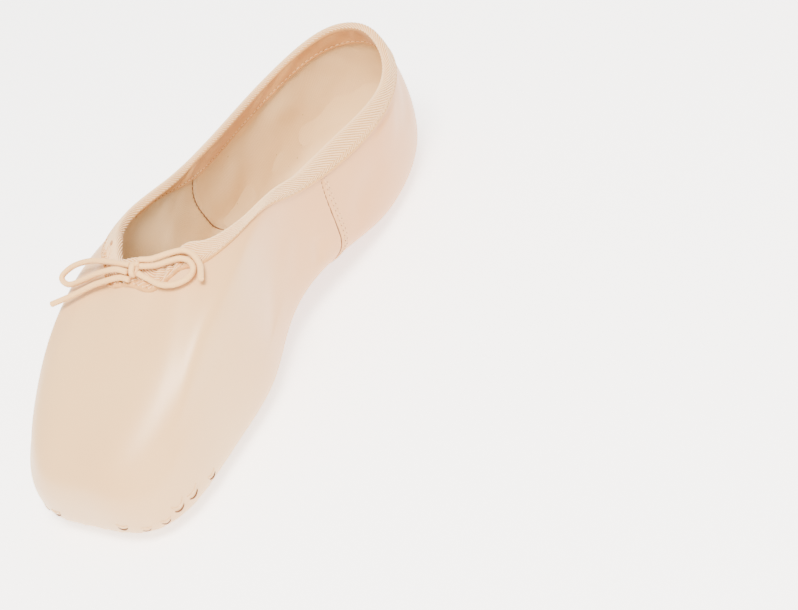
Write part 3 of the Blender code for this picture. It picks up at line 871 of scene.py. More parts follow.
# Where the pleats' mouths lie on each side, as u, v and length in mm
PLEAT_MOUTHS = ((1.00, 1.68, 3.6), (1.60, 1.60, 2.8), (2.12, 1.72, 3.0), (2.52, 1.88, 4.0), (2.90, 1.84, 4.2),
                (3.36, 1.66, 3.4))


def levels(*stretches: tuple[float, float, int]) -> Array:
    """Evenly spaced places along several stretches in turn, each with its start, end and number of steps."""
    rows = [np.linspace(start, end, count + 1)[:-1] for start, end, count in stretches]
    return np.concatenate([*rows, [stretches[-1][1]]])


@dataclass
class Upper:
    """The satin upper with its pleats, side seams and folds, and the canvas that lines it."""

    last: Last
    satin: Material
    canvas: Material
    seam_top_u: float = 6.60
    seam_foot_u: float = 6.50
    seam_bow: float = 0.23
    seam_place: tuple[float, float] = (6.5, 1.9)
    stitch_rows: tuple[float, float] = (1.5, 3.0)
    lining_seam_u: float = 6.45
    pleat_reach: float = 4.1
    pleat_spacing: float = 7.4
    pleat_height: float = 0.55
    binding_depth: float = 9.0
    # Width and height in mm of the drawn strands, and the threads of the seams' stitches
    mouth_size: tuple[float, float] = (0.75, 0.6)
    lip_size: tuple[float, float] = (1.3, 0.8)
    crease_size: tuple[float, float] = (0.62, 0.5)
    stitch_spacing: float = 2.2
    needle: float = 0.34
    # Shares of the wall at which the satin's back and the lining's back are hidden
    satin_back: float = 0.46
    lining_back: float = 0.52

    @property
    def seam_scale(self) -> float:
        """Millimetres for each whole u beside the side seams."""
        return self.last.stretch(*self.seam_place)[0]

    def seam_u(self, v: Array) -> Array:
        """The side seam's u at v."""
        share = np.clip((np.asarray(v, dtype=float) - 1) / 2, 0, 1)
        rise = (self.seam_top_u - self.seam_foot_u) * share
        return self.seam_foot_u + rise + self.seam_bow * np.sin(np.pi * share)

    def lining_seam(self, v: Array) -> Array:
        """The lining seam's u at v."""
        return self.lining_seam_u + 0.35 * np.clip((2.74 - v) / 0.84, 0, 2)

    def seam_top(self) -> float:
        """The v at which the side seams run in under the binding."""
        return self.last.below_rim(np.array([self.seam_top_u]), self.binding_depth * MM)[0]

    def columns(self, coarse: float, fine: float) -> Array:
        """Places round the shoe, closer together at the toe's pleats and the side seams."""
        u = np.linspace(0, ROUND, 4001)
        ring = travelled(self.last.surface(u, np.full(u.shape, 1.7)), 0)
        away = np.abs(from_toe(u))
        close = np.maximum(smooth_step((self.pleat_reach + 0.3 - away) / 0.4),
                           smooth_step((0.45 - np.abs(away - self.seam_foot_u)) / 0.15))
        spacing = coarse + (fine - coarse) * close
        count = np.concatenate([[0], np.cumsum(np.diff(ring) / spacing[1:])])
        return np.interp(np.linspace(0, count[-1], int(count[-1]) + 1)[:-1], count, u)

    def folds(self, u: Array, v: Array) -> Array:
        """Height of all the folds in mm, faded out near the binding and under the foot."""
        total = sum(fold.relief(self.last, u, v) for fold in FOLDS)
        rim = self.last.below_rim(u[0], (self.binding_depth + 1.0) * MM)
        return total * (smooth_step((rim - v) / 0.12) * smooth_step((v - 1.05) / 0.4))

    def pleats(self, u: Array, v: Array) -> Array:
        """Height of the pleats that gather the satin under the toe, in mm."""
        around, lap = from_toe(u), self.last.sole_lap
        fine = np.linspace(0, 5, 501)
        arc = travelled(self.last.surface(fine, np.full(fine.shape, 1.35)), 0)
        turn = np.interp(np.abs(around), fine, arc) / self.pleat_spacing + 0.25
        number = np.floor(turn)
        part = turn - number
        wander = 0.07 * np.sin(number * 2.4 + np.sign(around))
        shape = part ** 1.6 * smooth_step((1 - part) / 0.10)
        foot, opening = self.last.ring(u, "foot"), self.last.inset_ring(u, "sole", np.full(u.shape, lap))
        edge = (lap + 1.0 * MM) / np.linalg.norm(foot - opening, axis=-1)
        low = smooth_step((v - edge) / 0.12)
        high = smooth_step((1.50 + wander - v) / 0.16)
        reach = smooth_step((self.pleat_reach - np.abs(around)) / 0.5)
        # On the wall the pleats are pressed flatter than under the foot
        wall = 1 - 0.6 * smooth_step((v - 1.05) / 0.3)
        return self.pleat_height * shape * low * high * reach * wall

    def pleat_end(self, u: float, v: float, length: float, lift: float) -> tuple[Array, Array]:
        """The short curved mouth of a pleat on the lower wall, as points and outward directions."""
        round_scale, up_scale = self.last.stretch(u, v)
        t = np.linspace(-1, 1, 9)
        line_v = v + (t ** 2 - 0.5) * 0.30 * length / up_scale
        return self.last.raised(u + t * length / 2 / round_scale, line_v, lift * MM)

    def build_pleat_ends(self, shade: Material) -> None:
        """Build the shaded mouths of the pleats, each under a small lip of satin."""
        spots = [(u * side.value, v, length) for side in Side for u, v, length in PLEAT_MOUTHS]
        mouths = [self.pleat_end(u, v, length, 0.10) for u, v, length in spots]
        lips = [self.pleat_end(u, v + 0.10, length * 1.2, 0.05) for u, v, length in spots]
        keep(strand_piece("pleat_mouths", mouths, *self.mouth_size, shade))
        keep(strand_piece("pleat_lips", lips, *self.lip_size, self.satin))

    def build_creases(self, shade: Material) -> None:
        """Build the dark lines of painted shade where the seams turn in, outside and in the lining."""
        lines = []
        for side in Side:
            lines.append(self.line(side, -0.25, 1.02, self.seam_top(), 0.08))
            v = np.linspace(1.3, 2.78, 50)
            u = (self.lining_seam(v) - 0.3 / self.seam_scale) * side.value
            proud = self.lining_relief(u, v) - 0.9 * self.folds(u[None], v[None])[0] + 0.48
            points, normal = self.last.raised(u, v, -(self.last.wall(u, v) + proud * MM))
            lines.append((points, -normal))
        keep(strand_piece("seam_creases", lines, *self.crease_size, shade))

    def seams(self, u: Array, v: Array) -> Array:
        """Height of the side seams: a sharp line, with a stitched welt on its heel side."""
        off = (np.abs(from_toe(u)) - self.seam_u(v)) * self.seam_scale
        total = 0.32 * smooth_step(off / 0.35 + 0.5) * smooth_step((4.2 - off) / 2.6)
        total -= 0.22 * np.exp(-((off + 0.25) / 0.32) ** 2)
        for row in self.stitch_rows:
            total -= 0.14 * np.exp(-((off - row) / 0.4) ** 2)
        return total * smooth_step((v - 1.0) / 0.2)

    def line(self, side: Side, shift: float, low: float, high: float, lift: float) -> tuple[Array, Array]:
        """A line beside a side seam.

        Args:
            side: Which side of the shoe.
            shift: Millimetres from the seam towards the heel.
            low: Its lowest v.
            high: Its highest v.
            lift: Millimetres out from the surface.

        Returns:
            Points in metres and the outward directions.
        """
        v = np.linspace(low, high, 60)
        u = (self.seam_u(v) + shift / self.seam_scale) * side.value
        return self.last.raised(u, v, (self.folds(u[None], v[None])[0] + self.seams(u, v) + lift) * MM)

    def sheet(self, name: str, u: Array, halves: list[Array], material: Material) -> Piece:
        """Close two faces of cloth into one piece.

        Args:
            name: Name of the piece.
            u: Places of its columns round the shoe.
            halves: Rows of points of its two faces, in metres.
            material: Its finish.

        Returns:
            The piece, with cloth coordinates in mm.
        """
        points = np.concatenate(halves)
        round_mm = travelled(self.last.surface(np.append(u, ROUND), 2.0 + np.zeros(len(u) + 1)), 0)
        up_mm = travelled(np.concatenate([points, points[:1]]), 0)
        up_mm = np.concatenate([up_mm, up_mm[:, :1]], axis=1)
        uv = np.stack([np.broadcast_to(round_mm, up_mm.shape), up_mm], axis=-1)
        return grid_piece(name, points, uv, material, True)

    def build_shell(self) -> None:
        """Build the satin: its outer face with all its relief, closed by a hidden back face."""
        u = self.columns(1.25, 0.62)
        grid = np.meshgrid(u, levels((0, 1, 10), (1, 2, 37), (2, 3, 67)))
        height = self.folds(*grid) + self.pleats(*grid) + self.seams(*grid)
        outer, _ = self.last.raised(*grid, height * MM)
        grid = np.meshgrid(u, np.array([3.0, 2.9, 2.7, 2.4, 2.0, 1.5, 1.2, 1.0, 0.5, 0.0]))
        inner, _ = self.last.raised(*grid, self.folds(*grid) * MM - self.last.wall(*grid) * self.satin_back)
        keep(self.sheet("satin_upper", u, [outer, inner], self.satin), ("upper",))

    def lining_relief(self, u: Array, v: Array) -> Array:
        """Height of the lining's own puckers and seams, inwards, in mm."""
        away = np.abs(from_toe(u))
        pucker = 0.16 * np.sin(away * 9.1 + 2.0 * np.sin(v * 5)) * np.sin(v * 7.3 + away * 1.7)
        pucker += 0.10 * np.sin(away * 17 + 3 * v) * smooth_step((v - 2.2) / 0.4)
        off = (away - self.lining_seam(v)) * self.seam_scale
        seam = 0.35 * smooth_step(off / 0.5 + 0.5) * smooth_step((5.0 - off) / 3.0)
        seam -= 0.45 * np.exp(-((off + 0.3) / 0.4) ** 2)
        heel = (HEEL_U - away) * self.last.stretch(9.9, 2.0)[0]
        seam += 0.25 * np.exp(-(heel / 1.6) ** 2) - 0.3 * np.exp(-(heel / 0.4) ** 2)
        return (pucker + seam) * smooth_step((3.0 - v) / 0.15)

    def build_lining(self) -> None:
        """Build the canvas lining: its inner face with seams and puckers, closed by a hidden outer face."""
        u = self.columns(1.6, 1.1)
        grid = np.meshgrid(u, np.array([0.0, 0.5, 1.0, 1.2, 1.5, 2.0, 2.4, 2.7, 2.9, 3.0]))
        outer, _ = self.last.raised(*grid, self.folds(*grid) * MM - self.last.wall(*grid) * self.lining_back)
        grid = np.meshgrid(u, levels((3, 2, 51), (2, 1, 21), (1, 0, 5)))
        depth = self.folds(*grid) * MM * 0.9 - self.last.wall(*grid) - self.lining_relief(*grid) * MM
        inner, _ = self.last.raised(*grid, depth)
        keep(self.sheet("canvas_lining", u, [outer, inner], self.canvas))

    def build_stitches(self, sewing: Sewing) -> None:
        """Sew the double rows on the heel side of both side seams."""
        rows = [self.line(side, shift, 1.15, self.seam_top(), 0.10)
                for side in Side for shift in self.stitch_rows]
        keep(sewing.sew("side_seam_stitches", rows, self.stitch_spacing, self.needle))

# Trims


# How far down from the collar's edge the tape's face is drawn, in mm
TAPE_DOWNS = (9.35, 9.3, 9.1, 8.8, 8.4, 8.0, 7.6, 7.1, 6.6, 6.0,
              5.4, 4.8, 4.2, 3.6, 3.0, 2.4, 1.8, 1.2, 0.6, 0.0)
# The tape's height by that distance, as shares of the full height, with the stitched groove near the edge
TAPE_PROFILE = ((0, 1.0, 7.2, 7.7, 8.5, 8.9, 9.2, 9.35), (1.0, 0.96, 0.90, 0.78, 1.02, 0.92, 0.55, 0.0))


@dataclass
class Binding:
    """The twill tape folded over the collar's edge, gathered at the throat and stitched down."""

    last: Last
    tape: Material
    yarn: Material
    thickness: float = 0.7
    reach: float = 9.35
    stitch_down: float = 7.7
    rib_spacing: float = 1.9
    rib_thickness: float = 0.54
    gather_reach: float = 3.2
    gather_height: float = 0.60
    hidden_downs: tuple[float, ...] = (8.9, 5.0, 1.0)
    # The bar tack: its reach in u, and in mm how far down its threads lie and their width and height
    tack_reach: tuple[float, float] = (-2.30, -1.95)
    tack_downs: tuple[float, ...] = (1.5, 2.0, 2.5)
    tack_size: tuple[float, float] = (0.6, 0.5)
    stitch_spacing: float = 2.3
    needle: float = 0.34

    @property
    def proud(self) -> float:
        """How far the tape's face stands off the upper, in metres."""
        return self.last.gap + self.thickness * MM

    def puckers(self, u: Array, down: float, inside: bool) -> Array:
        """Lift of the tape's gathers in mm, at a distance in mm down from the collar."""
        away, share = np.abs(from_toe(u)), np.full(u.shape, 1 - down / self.reach)
        throat = smooth_step((self.gather_reach - away) / 1.4)
        low = np.sin(np.pi * np.clip(share * 0.9 + 0.1, 0, 1))
        gather = self.gather_height * throat * np.sin(away * 13.5 + 0.8 * np.sin(away * 4)) * low
        if inside:
            dimple = 0.32 * np.sin(away * 8.3 + np.sin(away * 3.1)) * np.sin(np.pi * share) ** 2
            return gather * 0.4 + dimple
        return gather + 0.10 * np.sin(away * 6.7 + np.sign(u - 0.1)) * np.sin(np.pi * share)

    def face(self, u: Array, down: float, lift: float, inside: bool) -> Array:
        """One ring of the tape's visible face, at a distance in mm down from the collar."""
        v = self.last.below_rim(u, down * MM)
        height = lift * self.proud + self.puckers(u, down, inside) * MM * min(1.0, down / 1.5)
        return self.last.raised(u, v, -(self.last.wall(u, v) + height) if inside else height)[0]

    def rim(self, u: Array) -> tuple[Array, Array, Array, Array]:
        """The collar's edge: its points, outward and upward directions, and the wall there."""
        top, edge = self.last.raised(u, np.full(u.shape, 3.0), 0.0)
        rise = top - self.last.surface(u, np.full(u.shape, 2.99))
        rise /= np.linalg.norm(rise, axis=-1, keepdims=True)
        return top, edge, rise, self.last.wall(u, np.full(u.shape, 3.0))[:, None]

    def section(self, u: Array) -> tuple[list[Array], list[float]]:
        """Rings of the tape's visible face, from its outer lower edge over the collar to the inner one."""
        top, edge, rise, wall = self.rim(u)
        steps = list(zip(TAPE_DOWNS, np.interp(TAPE_DOWNS, *TAPE_PROFILE)))
        rings = [self.face(u, down, lift, False) for down, lift in steps]
        marks = [self.reach - down for down in TAPE_DOWNS]
        middle = top - edge * wall / 2
        arc = np.pi * (wall.mean() / 2 + self.proud) / MM
        for share in np.linspace(0, 1, 11)[1:-1]:
            turn = np.pi * share
            rings.append(middle + (edge * np.cos(turn) + rise * np.sin(turn)) * (wall / 2 + self.proud))
            marks.append(self.reach + arc * share)
        rings += [self.face(u, down, lift, True) for down, lift in reversed(steps)]
        marks += [self.reach + arc + down for down in reversed(TAPE_DOWNS)]
        return rings, marks

    def hidden(self, u: Array) -> list[Array]:
        """Rings of the tape's back, which lies on the upper: up its inside, over the edge and down again."""
        last, off = self.last, 0.06 * MM
        rings = []
        for down in self.hidden_downs:
            v = last.below_rim(u, down * MM)
            rings.append(last.raised(u, v, -(last.wall(u, v) + off))[0])
        top, edge, rise, wall = self.rim(u)
        rings.append(top - edge * wall / 2 + rise * 0.5 * MM)
        for down in reversed(self.hidden_downs):
            rings.append(last.raised(u, last.below_rim(u, down * MM), off)[0])
        return rings

    def build(self) -> None:
        """Build the tape as a closed piece."""
        count = 900
        fine = np.linspace(0, ROUND, 2001)
        rim = travelled(self.last.surface(fine, np.full(fine.shape, 3.0)), 0)
        u = np.interp(np.linspace(0, rim[-1], count + 1)[:-1], rim, fine)
        self.tape_length = float(rim[-1])
        rings, marks = self.section(u)
        back = self.hidden(u)
        marks += [marks[-1] + 4 * (k + 1) for k in range(len(back))]
        along = np.linspace(0, self.tape_length, count + 1)
        uv = np.stack(np.meshgrid(along, [*marks, marks[-1] + 1]), axis=-1)
        self.band = grid_piece("twill_binding", np.stack(rings + back), uv, self.tape, True)
        keep(self.band, ("collar_binding",))

    def build_ribs(self) -> None:
        """Lay the tape's herringbone: ribs over its upper part, and shorter ones that turn back below."""
        tree = rib_tree()
        for name, start, end, slant, thick in (("binding_ribs", 3.4, 13.4, -21.0, 1.0),
                                               ("binding_ribs_low", 1.2, 3.4, 2.6, 0.6)):
            keep(grow(tree, self.band, name, {
                "Count": int(self.tape_length / self.rib_spacing), "Tape Length": self.tape_length * MM,
                "Start": start * MM, "End": end * MM, "Slant": slant * MM,
                "Rib Thickness": self.rib_thickness * thick * MM, "Yarn": self.yarn}))

    def build_tack(self, shade: Material) -> None:
        """Build the short bar tack beside the knot."""
        u = np.linspace(*self.tack_reach, 7)
        lines = [self.last.raised(u, self.last.below_rim(u, down * MM), self.proud + 0.35 * MM)
                 for down in self.tack_downs]
        keep(strand_piece("bar_tack", lines, *self.tack_size, shade))

    def build_stitches(self, sewing: Sewing) -> None:
        """Sew the row that holds both edges of the tape."""
        u = np.linspace(0, ROUND, 700)
        v = self.last.below_rim(u, self.stitch_down * MM)
        rows = []
        for inside in (False, True):
            height = 0.80 * self.proud + self.puckers(u, self.stitch_down, inside) * MM
            points, normal = self.last.raised(u, v, -(height + self.last.wall(u, v)) if inside else height)
            rows.append((points, -normal if inside else normal))
        keep(sewing.sew("binding_stitches", rows, self.stitch_spacing, self.needle))


# The heel strip's section: distances in mm from one edge, the middle and the other edge, each with its height
PIPED_EDGE = ((-0.25, 0.1), (-0.2, 0.55), (0.1, 1.25), (0.5, 1.45), (0.9, 1.25), (1.3, 0.85), (1.8, 0.62),
              (2.4, 0.80))
STRIP_MIDDLE = ((-3, 0.92), (-1.5, 0.95), (0, 0.95), (1.5, 0.95), (3, 0.92))
PLAIN_EDGE = ((-2.4, 0.84), (-1.8, 0.66), (-1.3, 0.62), (-0.9, 0.80), (-0.5, 0.88), (-0.1, 0.82),
              (0.15, 0.55), (0.2, 0.1))


@dataclass
class HeelStrip:
    """The satin strip over the back seam, with piping on one edge and a stitch row along each."""

    last: Last
    satin: Material
    width: float = 13.0
    start: float = 2.0
    binding_depth: float = 9.6
    # Distances in mm of the stitch rows from the piped edge and from the plain one
    row_insets: tuple[float, float] = (1.8, 1.5)
    stitch_lift: float = 0.66
    stitch_spacing: float = 3.0
    needle: float = 0.5

    def levels(self, count: int) -> Array:
        """Places up the heel's middle, from the end of the outsole to the binding."""
        v = np.linspace(0, 1, 201)
        line = self.last.surface(np.full(v.shape, float(HEEL_U)), v)[:, 1]
        sole_end = self.last.ring(np.array([float(HEEL_U)]), "sole")[0, 1]
        low = float(np.interp(sole_end + self.start * MM, line, v))
        high = float(self.last.below_rim(np.array([float(HEEL_U)]), self.binding_depth * MM)[0])
        fine = np.linspace(low, high, 400)
        path = travelled(self.last.surface(np.full(fine.shape, float(HEEL_U)), fine), 0)
        return np.interp(np.linspace(0, path[-1], count), path, fine)

    def place(self, v: Array, across: Array, lift: Array) -> tuple[Array, Array]:
        """Points on the strip.

        Args:
            v: Places up the heel, one for each row.
            across: Millimetres from its middle, one for each column.
            lift: Millimetres out from the upper, for each column.

        Returns:
            Rows of points in metres and their outward directions.
        """
        reach = np.linspace(-1.5, 1.5, 301)
        u = np.empty((len(v), len(across)))
        for row, level in enumerate(v):
            x = -self.last.surface(HEEL_U + reach, np.full(reach.shape, level))[:, 0] / MM
            u[row] = HEEL_U + np.interp(across, x, reach)
        return self.last.raised(u, np.broadcast_to(v[:, None], u.shape), np.asarray(lift) * MM)

    def build(self) -> None:
        """Build the strip as a closed band, its turned edges rolled down to the satin."""
        half = self.width / 2
        parts = ((-half, PIPED_EDGE), (0, STRIP_MIDDLE), (half, PLAIN_EDGE))
        across = np.array([start + x for start, steps in parts for x, _ in steps])
        lift = np.array([z for _, z in PIPED_EDGE + STRIP_MIDDLE + PLAIN_EDGE])
        v = self.levels(90)
        front, _ = self.place(v, across, lift)
        back, _ = self.place(v, across[::-1][1:-1], np.full(len(across) - 2, 0.08))
        points = np.concatenate([front, back], axis=1)
        ends = [np.repeat(row.mean(axis=0)[None], points.shape[1], axis=0) for row in (points[0], points[-1])]
        points = np.concatenate([ends[0][None], points, ends[1][None]])
        along = travelled(points, 0)
        along = np.concatenate([along, along[:, :1]], axis=1)
        back_mm = np.linspace(half + 1, half + self.width, len(across) - 2)
        round_mm = np.concatenate([across, back_mm, [half + self.width + 1]])
        uv = np.stack([np.broadcast_to(round_mm, along.shape), along], axis=-1)
        keep(grid_piece("satin_heel_strip", points, uv, self.satin), ("heel_strip",))

    def build_stitches(self, sewing: Sewing) -> None:
        """Sew one row inside each edge."""
        v = self.levels(90)[2:-1]
        rows = []
        piped, plain = self.row_insets
        for across in (-self.width / 2 + piped, self.width / 2 - plain):
            points, normal = self.place(v, np.array([across]), np.array([self.stitch_lift]))
            rows.append((points[:, 0], normal[:, 0]))
        keep(sewing.sew("heel_strip_stitches", rows, self.stitch_spacing, self.needle))


# Sole boards

OUTSOLE_THICKNESS, INSOLE_THICKNESS = 3.0, 2.2


@dataclass
class Board:
    """A board under the foot: an outline, rounded edges, and the sole's own bend."""

    last: Last
    ring: str
    inset: float
    top_lift: float
    thickness: float
    edge: float
    material: Material
    # The scored arcs turn about this point on either side, in mm, and stop at this share of the length
    arc_middle: tuple[float, float] = (62, -6)
    arc_spacing: float = 7.4
    scored: float = 0.44

    def plan(self, u: Array, distance: float) -> Array:
        """Plan outline of the board, moved inwards by a distance in mm."""
        wall = 0.0
        if self.ring == "foot":
            wall = self.last.side_wall + (self.last.toe_wall - self.last.side_wall) * self.last.stiff(u)
        return self.last.inset_ring(u, self.ring, wall + np.full(u.shape, (self.inset + distance) * MM))

    def build(self, name: str) -> Piece:
        """Build the board as one closed piece; its UV map holds the score lines' cells."""
        u = np.linspace(0, ROUND, 361)[:-1]
        half = self.thickness / 2
        turns = np.radians(np.linspace(90, -90, 13))
        rim, shares = self.plan(u, self.edge), np.linspace(1, 0, 20)[1:]
        flats = [np.stack([rim[:, 0] * share, rim[:, 1]], axis=-1) for share in shares]
        rings = [(plan, half) for plan in reversed(flats)]
        for turn in turns:
            rise = np.sign(np.sin(turn)) * np.abs(np.sin(turn)) ** 0.6
            rings.append((self.plan(u, self.edge * (1 - np.cos(turn))), half * rise))
        rings += [(plan, -half) for plan in flats]
        points = []
        for plan, z in reversed(rings):
            height = self.last.floor_height(plan[:, 1]) + (self.top_lift - half + z) * MM
            points.append(np.concatenate([plan, height[:, None]], axis=1))
        points = np.stack(points)
        uv = self.score_cells(np.concatenate([points, points[:, :1]], axis=1))
        return grid_piece(name, points, uv, self.material)

    def score_cells(self, points: Array) -> Array:
        """Which cell of each family of scored arcs a point lies in, with none outside the forefoot."""
        x, y = points[..., 0] / MM, (points[..., 1] + self.last.middle) / self.last.length
        aside, front = self.arc_middle
        y_mm = y * self.last.length / MM
        reach = [np.hypot(x - side.value * aside, y_mm - front) for side in Side]
        uv = np.stack(reach, axis=-1) / self.arc_spacing
        inside = (y < self.scored) & (points[..., 2] < self.last.floor_height(points[..., 1]) - 1.5 * MM)
        return np.where(inside[..., None], uv, 0.5)


# The drawstring


@dataclass
class Drawstring:
    """The drawstring's bow at the throat: a knot, two loops and two ends of the same round cord."""

    last: Last
    cotton: Material
    diameter: float = 2.1
    knot_below_rim: float = 3.8
    knot_aside: float = 2.4
    knot_half: tuple[float, float, float] = (2.0, 2.9, 2.0)
    binding_thickness: float = 0.7
    # Each route's points in mm from the knot's middle: across, down the vamp and out
    routes: dict[str, tuple] = field(default_factory=lambda: {
        "drawstring_loop_left": (
            (-2.45, -1.3, 0.0), (-7.3, -1.5, -0.1), (-14.8, -2.2, -1.4), (-22.7, -2.2, -2.8),
            (-30.7, 0.0, -4.2), (-34.4, 4.3, -4.6), (-30.0, 6.7, -4.4), (-22.7, 4.5, -3.4),
            (-15.7, 2.3, -1.4), (-7.7, 0.9, 0.4), (-2.45, 1.25, 0.3)),
        "drawstring_loop_right": (
            (2.45, 1.3, 0.0), (5.5, 2.1, -1.9), (11.1, 3.5, -2.6), (16.0, 2.6, -3.6),
            (19.2, -0.6, -5.4), (19.6, -4.3, -6.4), (17.3, -6.8, -6.0), (14.4, -7.0, -4.5),
            (11.0, -5.1, -3.1), (6.8, -2.9, -2.2), (2.45, -1.25, 0.0)),
        "drawstring_end_left": (
            (-1.2, 3.7, -0.4), (-5.6, 3.2, -0.9), (-10.8, 4.5, -1.4), (-17.3, 6.7, -2.2),
            (-24.6, 10.4, -3.0), (-33.8, 14.9, -3.4)),
        "drawstring_end_right": (
            (1.0, -3.6, -0.1), (5.6, -4.6, -0.7), (10.8, -7.9, -2.5), (14.4, -9.9, -4.3),
            (17.2, -9.7, -5.9), (19.7, -7.8, -7.0), (21.6, -5.5, -7.3), (24.1, -1.0, -6.2)),
    })

    def frame(self) -> tuple[Array, Array]:
        """The knot's middle, and its three directions: across, down the vamp and out."""
        last = self.last
        last, zero = self.last, np.array([0.0])
        v = last.below_rim(zero, self.knot_below_rim * MM)
        point, normal = last.surface(zero, v)[0], last.normal(zero, v)[0]
        down = last.surface(zero, v - 0.01)[0] - last.surface(zero, v + 0.01)[0]
        down -= normal * np.dot(down, normal)
        down /= np.linalg.norm(down)
        out = 2 * last.gap + (self.binding_thickness + self.knot_half[2]) * MM
        across = np.array([1.0, 0.0, 0.0])
        return point + normal * out + across * self.knot_aside * MM, np.stack([across, down, normal])
    def smooth_route(self, points: Array, count: int) -> Array:
        """Evenly spaced points on a smooth curve through the route's points."""
        ends = np.concatenate([[2 * points[0] - points[1]], points, [2 * points[-1] - points[-2]]])
        fine = []
        for a, b, c, d in zip(ends, ends[1:], ends[2:], ends[3:]):
            for t in np.linspace(0, 1, 24, endpoint=False):
                fine.append(0.5 * (2 * b + (c - a) * t + (2 * a - 5 * b + 4 * c - d) * t ** 2
                                   + (3 * b - a - 3 * c + d) * t ** 3))
        fine = np.array(fine + [points[-1]])
        gone = np.concatenate([[0], np.cumsum(np.linalg.norm(np.diff(fine, axis=0), axis=1))])
        wanted = np.linspace(0, gone[-1], count)
        return np.stack([np.interp(wanted, gone, fine[:, axis]) for axis in range(3)], axis=1)

    def tube(self, name: str, path: Array, radius: float, sides: int = 20) -> Piece:
        """A closed round tube along a path, with rounded ends.

        Args:
            name: Name of the piece.
            path: Its centreline, in metres.
            radius: Its radius in mm.
            sides: Points round it.

        Returns:
            The tube.
        """
        along = np.gradient(path, axis=0)
        along /= np.linalg.norm(along, axis=1, keepdims=True)
        side = np.cross(along[0], (0.3, 0.2, 0.9))
        side /= np.linalg.norm(side)
        turn = np.arange(sides) / sides * 2 * np.pi
        # Each ring's place on the path, its shift along it and its share of the radius
        dome = [(-0.5, 0.0), (-0.42, 0.5), (-0.2, 0.85)]
        profile = [(0, *step) for step in dome] + [(k, 0.0, 1.0) for k in range(len(path))]
        profile += [(len(path) - 1, -shift, share) for shift, share in dome[::-1]]
        sides_at = []
        for step in along:
            side = side - step * np.dot(side, step)
            side /= np.linalg.norm(side)
            sides_at.append(side)
        rows = []
        for k, shift, share in profile:
            other = np.cross(along[k], sides_at[k])
            ring = np.cos(turn)[:, None] * sides_at[k] + np.sin(turn)[:, None] * other
            rows.append(path[k] + along[k] * shift * radius * MM + ring * radius * share * MM)
        points = np.stack(rows)
        length = travelled(points.mean(axis=1), 0)
        uv = np.stack(np.meshgrid(np.linspace(0, 2 * np.pi * radius, sides + 1), length), axis=-1)
        return grid_piece(name, points, uv, self.cotton)

    def build_knot(self) -> Piece:
        """Build the knot: the cord wound once and a half round the strands that pass through it."""
        centre, axes = self.frame()
        turn = np.linspace(-0.75 * np.pi, 2.15 * np.pi, 60)
        across = np.linspace(-0.95, 1.0, 60)
        path = np.stack([across, -1.85 * np.cos(turn), 0.95 * np.sin(turn)], axis=1) * MM @ axes + centre
        return self.tube("cord_knot", path, self.diameter / 2 * 0.98, 16)

    def build(self) -> None:
        """Build the knot and the four stretches of cord."""
        centre, axes = self.frame()
        knot = keep(self.build_knot(), ("drawstring_knot",))
        for name, route in self.routes.items():
            path = self.smooth_route(np.array(route) * MM, 110) @ axes + centre
            tube = keep(self.tube(name + "_cord", path, self.diameter / 2), (name,))


# The studio


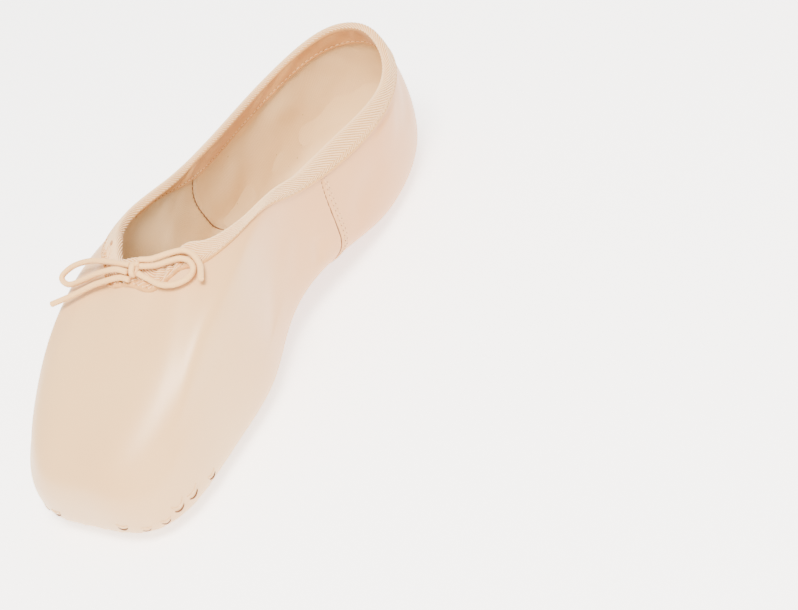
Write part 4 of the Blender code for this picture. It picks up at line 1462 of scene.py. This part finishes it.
@dataclass(frozen=True)
class Studio:
    """Pale floor, soft light from above, and the camera at the photograph's angle."""

    azimuth: float = 45.21
    elevation: float = 34.55
    roll: float = -23.96
    distance: float = 641.9
    target: tuple[float, float, float] = (0.0, -2.45, 25.0)
    focal_px: float = 1737.8
    image: tuple[int, int] = (798, 610)
    target_px: tuple[float, float] = (237.7, 265.5)

    def axes(self) -> tuple[Vector, Vector, Vector]:
        """The camera's right, up and back directions."""
        a, e, r = np.radians((self.azimuth, self.elevation, self.roll))
        back = Vector((np.sin(a) * np.cos(e), -np.cos(a) * np.cos(e), np.sin(e)))
        right = Vector((np.cos(a), np.sin(a), 0))
        up = back.cross(right)
        return np.cos(r) * right + np.sin(r) * up, np.cos(r) * up - np.sin(r) * right, back

    def build_camera(self) -> Piece:
        """Set the camera up."""
        right, up, back = self.axes()
        data = bpy.data.cameras.new("camera")
        data.sensor_width = 36
        data.lens = self.focal_px / self.image[0] * data.sensor_width
        data.shift_x = (self.image[0] / 2 - self.target_px[0]) / self.image[0]
        data.shift_y = (self.target_px[1] - self.image[1] / 2) / self.image[0]
        data.clip_start, data.clip_end = 0.01, 50
        camera = bpy.data.objects.new("camera", data)
        place = Matrix((right, up, back)).transposed().to_4x4()
        place.translation = (Vector(self.target) + back * self.distance) * MM
        camera.matrix_world = place
        bpy.context.scene.collection.objects.link(camera)
        bpy.context.scene.camera = camera
        return camera

    def build_floor(self, paper: Material) -> None:
        """Lay the floor."""
        mesh = bpy.data.meshes.new("studio_floor")
        mesh.from_pydata([(-4, -4, 0), (4, -4, 0), (4, 4, 0), (-4, 4, 0)], [], [(0, 1, 2, 3)])
        link_piece("studio_floor", mesh, paper)

    def add_light(self, name: str, place: tuple[float, float, float], size: float, power: float,
                  colour: str = "#FFFFFF") -> Piece:
        """Hang a square soft light that faces the shoe."""
        data = bpy.data.lights.new(name, "AREA")
        data.shape, data.size, data.energy = "SQUARE", size, power
        data.color = linear(colour)[:3]
        light = bpy.data.objects.new(name, data)
        light.location = place
        light.rotation_mode = "QUATERNION"
        light.rotation_quaternion = (Vector((0, 0, 0.03)) - Vector(place)).to_track_quat("-Z", "Y")
        bpy.context.scene.collection.objects.link(light)
        return light

    def build_lights(self) -> None:
        """Hang the key, fill and rim lights, and set an even pale surround."""
        self.add_light("key_light", (0.32, -0.45, 1.29), 0.60, 60.0, "#FFF4E8")
        self.add_light("fill_light", (0.9, -0.9, 0.7), 1.2, 4.0)
        self.add_light("rim_light", (-0.3, 1.2, 0.9), 0.9, 5.0)
        world = bpy.data.worlds.new("studio")
        world.use_nodes = True
        surround = world.node_tree.nodes["Background"]
        surround.inputs["Color"].default_value = linear("#F4F3F1")
        surround.inputs["Strength"].default_value = 1.7
        bpy.context.scene.world = world


def main() -> None:
    """Build every piece of the shoe in order, then the studio."""
    logging.basicConfig(level=logging.INFO, format="%(name)s %(message)s")
    last = Last()
    thread = Cotton("sewing_thread", "#DDBA86", "#D3A36C", 0.3, 0.6, 0.02).make()
    # Painted shade: the dark of the needle holes, the pleat mouths and the seam creases
    hole = Cotton("needle_hole_shade", "#7C5034", "#5E3A26", 0.5, 0.95, 0.01).make()
    tape = Cotton("twill_tape", "#CE9A5C", "#C08A4C", 0.4, 0.8, 0.05).make()
    cotton = Cotton("braided_cord", "#E6BA7C", "#DAA868", 0.5, 0.65, 0.05).make()
    tack = Cotton("tack_thread", "#B98450", "#A06E40", 0.3, 0.7, 0.02).make()
    canvas = Canvas("cotton_canvas").make()
    sewing = Sewing(thread, hole)

    upper = Upper(last, Satin("ivory_satin").make(), canvas)
    upper.build_shell()
    upper.build_lining()
    upper.build_stitches(sewing)
    upper.build_pleat_ends(hole)
    upper.build_creases(hole)

    # The ribs' yarn is paler than the tape: a painted highlight on the ribs' crowns
    yarn = Cotton("twill_rib_highlight_yarn", "#EBCB9C", "#DFB684", 0.4, 0.7, 0.05).make()
    binding = Binding(last, tape, yarn)
    binding.build()
    binding.build_ribs()
    binding.build_stitches(sewing)
    binding.build_tack(tack)

    strip = HeelStrip(last, Satin("strip_satin").make())
    strip.build()
    strip.build_stitches(sewing)

    outsole = Board(last, "sole", 0.0, 0.0, OUTSOLE_THICKNESS, 0.9, SoleLeather("sole_leather").make())
    keep(outsole.build("leather_outsole"), ("outsole",))
    # The insole lies on the turned-in edge, with the same clearance over and under it
    insole_top = (2 * last.gap + last.side_wall) / MM + INSOLE_THICKNESS
    insole = Board(last, "foot", 1.6, insole_top, INSOLE_THICKNESS, 0.7, canvas)
    keep(insole.build("canvas_insole"), ("insole",))

    Drawstring(last, cotton).build()

    studio = Studio()
    studio.build_floor(StudioPaper().make())
    studio.build_lights()
    studio.build_camera()


if __name__ == "__main__":
    main()
